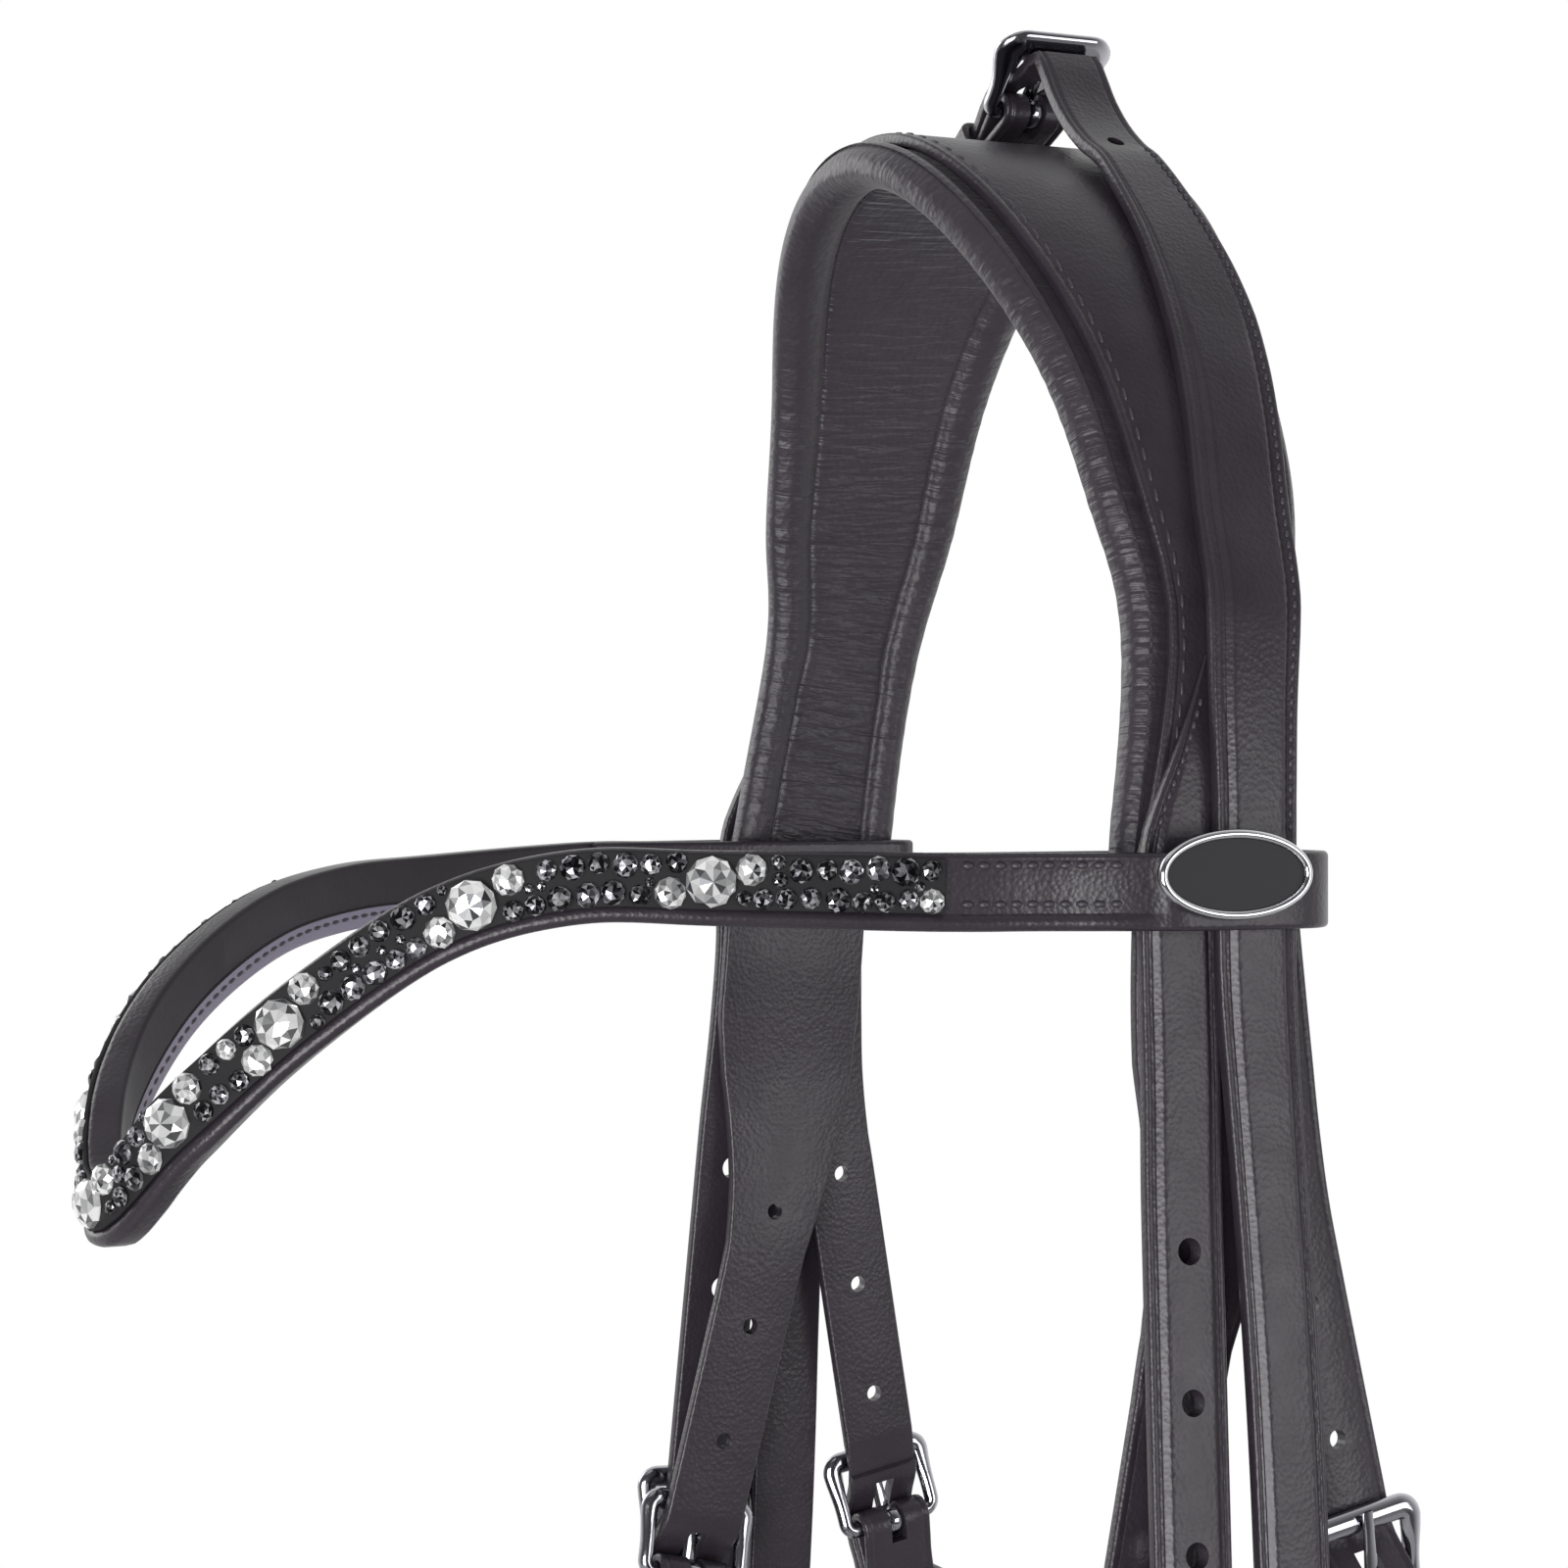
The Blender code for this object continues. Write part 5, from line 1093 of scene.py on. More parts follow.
@dataclass
class Headpiece:
    """The padded crown: lining pad, leather with its two cheek billets, and the throat billets."""

    kit: Bridle
    crown_width: float = 58 * MM
    shoulder_width: float = 44 * MM
    waist_width: float = 31 * MM
    leg_width: float = 32.4 * MM
    setback: float = 5.6 * MM
    depths: tuple = (0, 34 * MM, 60 * MM, 84 * MM, 124 * MM)
    crown_roll: float = 7 * MM
    leg_roll: float = 2.2 * MM
    roll_rise: float = 0.8 * MM
    least_roll: float = 4.6 * MM
    pad_end: float = 3 * MM
    root_width: float = 29 * MM
    lean_start: float = 30 * MM
    lean_end: float = 71 * MM
    cheek_y: float = -19.8 * MM
    throat_top: float = 50 * MM
    throat_y: float = 10.6 * MM

    def half_width(self, depth: Array) -> Array:
        """Return half the pad's width: a wide crown and a drawn-in waist."""
        between = 0.26 * self.shoulder_width + self.waist_width / 4
        values = [self.crown_width / 2, self.shoulder_width / 2, between, self.waist_width / 2,
                  self.leg_width / 2]
        return smooth(depth, self.depths, values)

    def centre(self, depth: Array) -> Array:
        """Return how far the headpiece's middle lies behind the browband's middle."""
        return smooth(depth, self.depths, [0, 0.73 * self.setback, self.setback, 0.85 * self.setback, 0])

    def roll(self, depth: Array) -> Array:
        """Return the width of the pad's edge that shows beside the leather."""
        return np.interp(depth, [0, 84 * MM, self.kit.head.rise], [self.crown_roll, 5 * MM, self.leg_roll])

    def build_pad(self) -> None:
        """Add the lining pad, with a fat roll at each edge, wrinkled across.

        The wrinkles are a sum of sines along the arc, bent by a slow sine across, strongest inside the legs.
        The seam is drawn in at every stitch: a cosine along the arc in a bell curve across.
        """
        head = self.kit.head
        end = head.brow + self.pad_end
        s = np.linspace(-end, end, 460)
        depth = head.depth(s)
        w = self.half_width(depth)[:, None]
        shown = self.roll(depth)
        least = self.least_roll
        r = np.maximum(shown, least)[:, None]
        lift = self.roll_rise * np.clip((shown - least) / (self.crown_roll - least), 0, 1)[:, None]
        close = np.clip((end - np.abs(s)) / (14 * MM), 0, 1)
        d = (head.pad * (0.62 + 0.38 * close * (2 - close)))[:, None]
        across, out = rolled_outline(w, r, d, ((1.45, -0.72), (1.95, -0.8)), 5, lift)
        inner = np.clip((-out / d - 0.5) / 0.3, 0, 1)
        bend = s[:, None] + 1.6 * MM * np.sin(across / (5 * MM) + s[:, None] / (17 * MM))
        waves = (np.sin(bend / (0.62 * MM)) * np.sin(bend / (4.1 * MM) + 1.3)
                 + 0.7 * np.sin(bend / (0.91 * MM) + 0.6))
        leg = ease(depth, [10 * MM, 45 * MM, 95 * MM, 122 * MM], [0.25, 1, 1, 0.4])[:, None]
        seam = np.exp(-((np.abs(across) - (w - 0.85 * r)) / (1.3 * MM)) ** 2) * (out > -0.4 * d)
        pucker = 0.5 + 0.5 * np.cos(2 * math.pi * s / (4.2 * MM))[:, None]
        out = out - 0.06 * MM * waves * inner * leg - 0.18 * MM * seam * pucker * leg
        points = head.point(s, self.centre(depth), 0)
        wide, face = strap_axes(points, SIDEWAYS)
        panel = np.clip((w - 1.35 * r - np.abs(across)) / (1.5 * MM), 0, 1) * (out < -0.5 * d)
        run = np.stack([across, np.broadcast_to(s[:, None], across.shape),
                        np.maximum(panel, 0.1 + 0.35 * leg)], axis=-1)
        shell = skin(sweep(points, across, wide, out, face))
        lining = self.kit.wardrobe(self.kit.wardrobe.lining)
        item = build_piece("poll_pad_lining", shell, lining, "headpiece", "lining", "poll_pad",
                           crease=PAD_ANGLE, run=run)

    def cheek_seat(self) -> Seat:
        """Return the seat of the cheek buckle, on the plain billet that leans forward."""
        drop = self.kit.cheek_drop
        return self.kit.leg_seat(drop, self.cheek_y, -7 * MM, drop - self.kit.lean_run, -6 * MM, -3.6 * MM)

    def throat_seat(self, drop: float) -> Seat:
        """Return the seat of a throat buckle, on the billet that leans back."""
        y = self.throat_y + 0.2 * (drop - self.throat_top)
        return self.kit.leg_seat(drop, y, -1.2 * MM, self.throat_top, self.throat_y, 2.6 * MM)

    def build_leather(self) -> None:
        """Add the crown leather with both cheek billets, its edge stitching and the punched holes."""
        kit, head, buckle = self.kit, self.kit.head, self.kit.buckle
        seat = self.cheek_seat()
        middle = CLEAR + kit.leather / 2
        crown = np.linspace(0, head.brow - 12 * MM, 19)[1:]
        s = np.concatenate([crown, head.brow + np.linspace(-4, 100, 11) * MM])
        drop = s - head.brow
        lean = [self.lean_start, self.lean_end]
        y = ease(drop, [0, lean[0]], [0, -1 * MM])
        line = -1 * MM + (drop - lean[0]) * np.interp(drop, lean, [0, -5 / 41])
        y = np.where(drop > lean[0], line, y) + self.centre(head.depth(s)) * (drop < 0)
        blend = ease(drop, lean, [0, 1])[:, None]
        straight = seat.heel + (drop - kit.cheek_drop)[:, None] * seat.down
        lead = head.point(s, y, middle) * (1 - blend) + straight * blend
        points, hints = kit.billet_line(lead, seat)
        depth = head.pad - points[:, 2]
        half = self.half_width(depth) - self.roll(depth)
        reach = np.concatenate([drop, np.full(len(points) - len(lead), kit.cheek_drop)])
        root = self.root_width / 2
        below = ease(reach, [-12 * MM, 4 * MM, 26 * MM, 74 * MM],
                     [self.leg_width / 2 - self.leg_roll, root, root, kit.strap_width / 2])
        half = np.where(reach > -12 * MM, below, half)
        half[-1] *= TAIL_TAPER
        flip = Side.FAR.mirror
        points = np.vstack([points[::-1] * flip, head.point(0, 0, middle)[None], points])
        hints = np.vstack([hints[::-1] * flip, SIDEWAYS[None], hints])
        half = np.concatenate([half[::-1], [self.crown_width / 2 - self.crown_roll], half])
        strap = Strap(points, hints, half, kit.leather / 2, spacing=2.2 * MM)
        holes = buckle.holes(seat, kit.small_hole, kit.small_pitch)
        holes = holes + [mirrored(hole) for hole in holes]
        kit.cut_strap("headpiece_crown_leather", strap, "headpiece", "headpiece_leather", holes)
        whole = arc_lengths(strap.line)[-1]
        reach = whole / 2 - head.brow
        rows = strap.stitches(2.3 * MM, reach, whole - reach, 3.6 * MM)
        kit.stitch("headpiece", "headpiece", Side.NEAR, rows)

    def build_throat_billets(self, drops: dict[Side, float]) -> None:
        """Add the plain throat billets with their buckles, the far one let down further."""
        kit, head, buckle = self.kit, self.kit.head, self.kit.buckle
        for side, drop in drops.items():
            seat = self.throat_seat(drop)
            run = np.linspace(-6, 60, 7) * MM
            y = ease(run, [-6 * MM, self.throat_top], [6.6 * MM, self.throat_y])
            straight = seat.heel + (run - drop)[:, None] * seat.down
            blend = ease(run, [12 * MM, 60 * MM], [0, 1])[:, None]
            flat = head.below_brow(run, y, kit.second_layer + kit.leather / 2)
            strap = kit.billet(flat * (1 - blend) + straight * blend, seat, kit.throat_width - 0.6 * MM)
            name = side.word + "_throat"
            holes = buckle.holes(seat, kit.small_hole, kit.small_pitch)
            kit.cut_strap(name + "_plain_billet", strap, "headpiece", name + "_billet", holes, side)
            buckle.dress(name, seat, kit.throat_width, kit.wardrobe, "headpiece", side)


@dataclass
class Cheekpiece:
    """A cheekpiece: folded round its buckle, hanging to a bit loop closed by a hook stud."""

    kit: Bridle
    length: float = 200 * MM
    eye: float = 5.5 * MM
    stud_drop: float = 24 * MM
    stud: float = 1.6 * MM
    bow: float = 0.3 * MM
    bow_start: float = 56 * MM
    bow_end: float = 68 * MM

    def route(self) -> tuple[Array, Array]:
        """Return down and out positions: the fold, the bowed straight, the bit loop and its return.

        Above the loop the layers part as a smoothstep of the distance.
        """
        buckle = self.kit.buckle
        down, out = buckle.fold_route()
        radius = self.eye + buckle.lower / 2
        turn = np.radians(np.linspace(90, -90, 13))
        part = 2.6 * radius
        front = self.length - part * np.linspace(1, 0, 7)[:-1]
        above = self.length - 1.2 * part
        straight = np.concatenate([[30 * MM, self.bow_start], np.linspace(self.bow_end, above, 6)])
        middle = (buckle.main + buckle.back) / 2
        main = buckle.main + self.bow * (straight >= self.bow_end)
        reach = [self.length - part, self.length]
        back = np.concatenate([front[::-1], [above, self.length - 2.5 * part]])
        down = np.concatenate([down, straight, front, self.length + radius * np.cos(turn), back])
        outer = ease(front, reach, [buckle.main + self.bow, middle + radius])
        inner = ease(back, reach, [buckle.back, middle - radius])
        out = np.concatenate([out, main, outer, middle + radius * np.sin(turn), inner])
        return down, out

    def build(self, seat: Seat, side: Side) -> None:
        """Add one cheekpiece and its buckle on a side."""
        kit, buckle = self.kit, self.kit.buckle
        strap = kit.folded(seat.along(self.route()), seat.across, kit.strap_width)
        name = side.word + "_cheek"
        hole = peg(seat.at(self.length - self.stud_drop, 0, buckle.back), seat.out, self.stud + CLEAR,
                   buckle.lower / 2 + CLEAR * 0.7)
        cuts = [buckle.fold_slot(seat), hole]
        kit.cut_strap(name + "_strap", strap, "headpiece", name + "piece", cuts, side)
        end = arc_lengths(strap.line)[-1]
        fold = buckle.turn_back + 8 * MM
        spans = ((fold + 12 * MM, fold + 26 * MM), (end - 108 * MM, end - 84 * MM))
        kit.stitch(name, "headpiece", side,
                   *(strap.stitches(1.5 * MM, first, last, level=-0.1 * MM) for first, last in spans))
        buckle.dress(name, seat, kit.strap_width, kit.wardrobe, "headpiece", side, runner=True)
        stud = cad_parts[side.word + "_bit_stud"]
        stud.data.materials.clear()
        stud.data.materials.append(kit.wardrobe(kit.wardrobe.steel))


@dataclass
class Throatlatch:
    """The throat strap: folded round both throat buckles and hanging in a loop between them."""

    kit: Bridle
    depth: float = 190 * MM
    fall: float = 95 * MM
    sweep: float = 62 * MM

    def build(self, near: Seat, far: Seat) -> None:
        """Add the loop: a cubic Bezier from each fold, down the strap's own line, to the lowest point."""
        kit, buckle = self.kit, self.kit.buckle
        flip = Side.FAR.mirror
        ends = [near.along(buckle.fold_route()), far.along(buckle.fold_route()) * flip]
        lean = near.down[1] / -near.down[2]
        middle = (near.heel + far.heel) / 2
        low = np.array([0, middle[1] + lean * self.depth, middle[2] - self.depth])
        t = np.linspace(0, 1, 15)[1:, None]
        loop = []
        for seat, end, mirror in ((near, ends[0], Side.NEAR.mirror), (far, ends[1], flip)):
            first = end[-1] + seat.down * mirror * self.fall
            second = low + np.array([mirror[0] * self.sweep, 0, 0])
            loop.append((1 - t) ** 3 * end[-1] + 3 * (1 - t) ** 2 * t * first
                        + 3 * (1 - t) * t ** 2 * second + t ** 3 * low)
        points = np.vstack([ends[0], loop[0], loop[1][-2::-1], ends[1][::-1]])
        half = len(ends[0]) + len(loop[0])
        hints = repeat_rows((near.across, half), (far.across * flip, len(points) - half))
        strap = kit.folded(points, hints, kit.throat_width, 1.8 * MM)
        cuts = [buckle.fold_slot(near), mirrored(buckle.fold_slot(far))]
        kit.cut_strap("throatlatch_strap", strap, "headpiece", "throatlatch", cuts)


@dataclass
class Carrier:
    """The noseband's carrier: over the poll with its own buckle, raised and stitched at the sides."""

    kit: Bridle
    poll_width: float = 12.6 * MM
    leg_width: float = 17.5 * MM
    heel: tuple = (-6.4 * MM, 12.5 * MM, 16.8 * MM)
    slope: float = math.radians(36)
    tail: float = 20 * MM
    turn_back: float = 7.5 * MM
    keeper_drop: float = 8.6 * MM
    drops: tuple = (-160 * MM, -100 * MM, -77 * MM, -50 * MM, -9 * MM, 110 * MM, 320 * MM)
    offsets: tuple = (12.5 * MM, 12.5 * MM, 11 * MM, 8 * MM, 4.4 * MM, 5 * MM, 5.6 * MM)

    def seat(self) -> Seat:
        """Return the poll buckle's seat: heel bar on the far side, front bar at the top."""
        return Seat(self.heel, (-math.cos(self.slope), 0, -math.sin(self.slope)), -SIDEWAYS)

    def leg(self, s: Array) -> tuple[Array, Array, Array]:
        """Return leg points, half widths and raised heights at arc lengths from the crown."""
        kit, head = self.kit, self.kit.head
        drop = s - head.brow
        n = ease(drop, [-64 * MM, -40 * MM, 70 * MM, 130 * MM],
                 [kit.second_layer, kit.third_layer, kit.third_layer, kit.carrier_end])
        half = ease(drop, [22 * MM - head.brow, 66 * MM - head.brow, -60 * MM, -8 * MM, 60 * MM],
                    [self.poll_width / 2, self.leg_width / 2, self.leg_width / 2, 7.4 * MM, 6.5 * MM])
        points = head.point(s, smooth(drop, self.drops, self.offsets), n + kit.carrier_leather / 2)
        return points, half, kit.panel_rise * ease(s, [56 * MM, 76 * MM], [0, 1])

    def build(self) -> None:
        """Add both carriers, their stitching, and the poll buckle with its keeper."""
        kit, head, buckle = self.kit, self.kit.head, self.kit.buckle
        seat = self.seat()
        end = head.brow + kit.noseband_drop + kit.noseband_lap
        bends = np.array([-64, -58, -52, -46, -40, -28, -14, 0, 16, 32, 50, 70, 90, 110, 130]) * MM
        s = np.concatenate([np.linspace(40 * MM, head.brow - 74 * MM, 5), head.brow + bends,
                            np.linspace(head.brow + 160 * MM, end, 6)])
        leg, half, rise = self.leg(s)
        start = seat.along(buckle.billet_route(self.tail))[:0:-1]
        over = np.array([[6, 24.1], [8.4, 20.8], [11.6, 15.9], [16, 11], [21, 7], [27, 3.2]]) * MM
        over = np.insert(over, 1, self.heel[1], axis=1)
        points = np.vstack([start, over, leg])
        lead = len(start) + len(over)
        half = np.concatenate([np.full(lead, self.poll_width / 2), half])
        half[0] *= BLUNT_TAPER
        thick = np.where(np.arange(len(points)) < len(start), kit.leather / 2, kit.carrier_leather / 2)
        near = Strap(points, SIDEWAYS, half, thick, np.concatenate([np.zeros(lead), rise]))
        spare = peg(points[len(start) + 4], np.array([0.75, 0, 0.66]), kit.small_hole / 2, 3 * MM)
        self.finish(near, "near_carrier", [buckle.billet_slot(seat), spare], 62 * MM, 1)

        down, out = buckle.fold_route(self.turn_back)
        fold = seat.at(np.append(down, 16 * MM), 0, np.append(out, buckle.main))
        s = np.concatenate([[32 * MM], s])
        leg, half, rise = self.leg(s)
        points = np.vstack([fold, leg * Side.FAR.mirror])
        ramp = np.clip(np.arange(len(points)) - len(fold) + 1, 0, 4) / 4
        thick = buckle.lower / 2 + (kit.carrier_leather - buckle.lower) / 2 * ramp
        half = np.concatenate([np.full(len(fold), self.poll_width / 2), half])
        far = Strap(points, -SIDEWAYS, half, thick, np.concatenate([np.zeros(len(fold)), rise]))
        self.finish(far, "far_carrier", [buckle.fold_slot(seat)], 52 * MM, -1)
        plate = replace(buckle, overhang=0.3 * MM, front_share=1.4)
        plate.dress("poll", seat, self.poll_width, kit.wardrobe, "noseband", Side.NEAR, low=0,
                    drop=self.keeper_drop)

    def finish(self, strap: Strap, name: str, cuts: Sequence[Shell], start: float, edge: int) -> None:
        """Add one carrier and its row of stitches, from an arc length down along one edge."""
        kit = self.kit
        kit.cut_strap(name + "_strap", strap, "noseband", name, cuts)
        end = strap.arc_above(kit.stitch_end)
        row = strap.stitches(1.5 * MM, start, end, kit.fine_pitch, (edge,), bulk=0.4 * MM)
        kit.stitch(name, "noseband", Side.NEAR, row)


@dataclass
class FrontHanger:
    """The raised hanger in front of the carrier, its buckle and the strap on to the noseband."""

    kit: Bridle
    width: float = 14 * MM
    y: float = -8.2 * MM
    lean: float = 5.3 * MM

    def build(self, side: Side) -> None:
        """Add the hanger, its stitching and holes, its buckle and its lower strap on a side."""
        kit, head, buckle = self.kit, self.kit.head, self.kit.buckle
        n = kit.second_layer + kit.leather / 2
        seat = kit.leg_seat(kit.hanger_drop, self.y - self.lean, n, kit.hanger_drop - kit.lean_run,
                            self.y - self.lean / 2, n)
        run = np.array([-36, -30, -24, -18, -10, 0, 14, 30, 46, 62, 78, 94, 108]) * MM
        straight = seat.heel + (run - kit.hanger_drop)[:, None] * seat.down
        blend = ease(run, [0, 50 * MM], [0, 1])[:, None]
        y = np.interp(run, [-36 * MM, -4 * MM], [0.5 * MM, self.y])
        lead = head.below_brow(run, y, n) * (1 - blend) + straight * blend
        rise = kit.panel_rise * np.concatenate([[0, 0, 0, 0.3, 0.5, 0.8], np.ones(len(run) - 6)])
        strap = kit.billet(lead, seat, self.width, rise)
        ramp = np.interp(arc_lengths(strap.line), [0, 30 * MM], [1.2 * MM, self.width / 2])
        strap.half_width = np.minimum(strap.half_width, ramp)
        strap.thin_start(16 * MM, 0.3)
        name = side.word + "_hanger"
        holes = buckle.holes(seat, kit.large_hole, kit.large_pitch)
        kit.cut_strap(name + "_raised_strap", strap, "noseband", side.word + "_front_hanger", holes, side)
        end = strap.arc_above(kit.stitch_end)
        rows = strap.stitches(1.4 * MM, 8 * MM, end, kit.fine_pitch, bulk=0.42 * MM)
        kit.stitch(name, "noseband", side, rows)
        self.build_lower(seat, side)
        buckle.dress(name, seat, kit.strap_width, kit.wardrobe, "noseband", side, runner=True)

    def build_lower(self, seat: Seat, side: Side) -> None:
        """Add the plain strap from the hanger's buckle down to the noseband."""
        kit, buckle = self.kit, self.kit.buckle
        down, out = buckle.fold_route()
        last = kit.noseband_drop - kit.hanger_drop + kit.noseband_lap
        points = seat.at(np.concatenate([down, np.linspace(30 * MM, last, 6)]), 0,
                         np.concatenate([out, np.full(6, buckle.main)]))
        name = side.word + "_noseband_cheek"
        strap = kit.folded(points, seat.across, kit.strap_width)
        kit.cut_strap(name + "_strap", strap, "noseband", name, [buckle.fold_slot(seat)], side)


@dataclass
class Noseband:
    """The noseband: one strap round nose and chin, with a buckle and a pad over the nose."""

    kit: Bridle
    nose_height: float = 32 * MM
    side_height: float = 22 * MM
    chin_height: float = 16 * MM
    front: float = 62 * MM
    rear: float = 38 * MM
    side_front: float = 48 * MM
    side_rear: float = 62 * MM
    chin_heel: float = 42 * MM
    chin_tail: float = 24 * MM
    turn_back: float = 14 * MM
    pad: float = 6 * MM
    pad_roll: float = 5 * MM

    def __post_init__(self) -> None:
        """Tabulate the plan: straight sides and half ellipses round the chin and over the nose."""
        end = self.kit.head.below_brow(self.kit.noseband_drop, 0, 0)
        half, self.level = float(end[0]), float(end[2])
        turn = np.linspace(0, math.pi, 120)
        rear = np.stack([half * np.cos(turn), self.side_rear + self.rear * np.sin(turn)], axis=1)
        nose = np.stack([-half * np.cos(turn), -self.side_front - self.front * np.sin(turn)], axis=1)
        self.track = np.vstack([[[half, -self.side_front]], rear, nose])
        self.arc = arc_lengths(self.track)
        self.nose_arc = float(arc_lengths(nose)[-1])

    def ring(self, place: Array, n: ArrayLike) -> tuple[Array, Array]:
        """Return points and width directions round the noseband, n out from the straps' path."""
        before, plan, after = (read_at(np.mod(place + step, self.arc[-1]), self.arc, self.track)
                               for step in (-0.5 * MM, 0, 0.5 * MM))
        heading = unit(after - before)
        outward = np.stack([heading[:, 1], -heading[:, 0]], axis=1)
        flare, n = self.kit.head.flare, np.broadcast_to(n, len(place))[:, None]
        points = np.hstack([plan + n * outward * math.cos(flare), self.level + n * math.sin(flare)])
        return points, np.hstack([-outward * math.sin(flare), np.full((len(place), 1), math.cos(flare))])

    def build(self) -> None:
        """Add the band with its chin buckle, its stitching and the nose pad."""
        kit, buckle = self.kit, self.kit.buckle
        band_n = kit.carrier_end - CLEAR - buckle.lower / 2
        heel_n = band_n - buckle.main
        length = float(self.arc[-1])
        heel_place = self.side_front + self.chin_heel
        heel, hint = self.ring(np.array([heel_place, heel_place + 1 * MM]), heel_n)
        seat = Seat(heel[0], heel[0] - heel[1], -hint[0])
        tail = seat.along(buckle.billet_route(self.chin_tail))[::-1]
        last = heel_place + length - 15 * MM
        place = np.append(np.arange(heel_place + 22 * MM, last, 9 * MM), last)
        body, body_hint = self.ring(place, heel_n)
        offset = ease(place, [heel_place + 60 * MM, heel_place + 120 * MM], [0, band_n - heel_n])
        body = body + offset[:, None] * np.cross(unit(np.gradient(body, axis=0)), body_hint)
        fold = seat.along(buckle.fold_route(self.turn_back))[::-1]
        points = np.vstack([tail, body, fold])
        hints = np.vstack([repeat_rows((hint[0], len(tail))), body_hint, repeat_rows((hint[0], len(fold)))])
        middle = length - self.nose_arc / 2
        nose_half = self.nose_arc / 2
        height = ease(np.abs(place - middle), [0, 60 * MM, nose_half + 14 * MM, nose_half + 60 * MM],
                      [self.nose_height, self.nose_height * 0.94, self.side_height, self.chin_height])
        half = np.concatenate([np.full(len(tail), self.chin_height / 2), height / 2,
                               np.full(len(fold), self.chin_height / 2 - kit.fold_ease)])
        half[0] *= BLUNT_TAPER
        thick = np.where(np.arange(len(points)) < len(tail), kit.leather / 2, buckle.lower / 2)
        strap = Strap(points, hints, half, thick, spacing=1.8 * MM)
        kit.cut_strap("noseband_strap", strap, "noseband", "noseband_band", [buckle.band_slot(seat)])
        nose = self.chin_tail + middle - heel_place
        end = min(nose + nose_half + 10 * MM, arc_lengths(strap.line)[-1] - 60 * MM)
        rows = strap.stitches(2 * MM, nose - nose_half - 10 * MM, end)
        kit.stitch("noseband", "noseband", Side.NEAR, rows)
        buckle.dress("chin", seat, self.chin_height, kit.wardrobe, "noseband", Side.NEAR, drop=10 * MM)
        self.build_pad(band_n - buckle.lower / 2 - CLEAR, middle)

    def build_pad(self, face: float, middle: float) -> None:
        """Add the nose pad, with a roll at each edge, thinning to its ends."""
        reach = self.nose_arc / 2 + 20 * MM
        place = np.linspace(middle - reach, middle + reach, 240)
        points, hint = self.ring(place, face)
        close = np.clip((reach - np.abs(place - middle)) / (24 * MM), 0, 1)
        d = (self.pad * (0.5 + 0.5 * close))[:, None]
        top = self.nose_height / 2 + 3 * MM
        w = ease(np.abs(place - middle), [0, 60 * MM, reach], [top, top, self.side_height / 2])[:, None]
        across, out = rolled_outline(w, self.pad_roll, d, ((1.6, -0.74),), 4)
        wide, normal = strap_axes(points, hint)
        shell = skin(sweep(points, across, wide, out, normal))
        lining = self.kit.wardrobe(self.kit.wardrobe.lining)
        item = build_piece("noseband_pad_lining", shell, lining, "noseband", "lining", "noseband_pad",
                           crease=PAD_ANGLE)


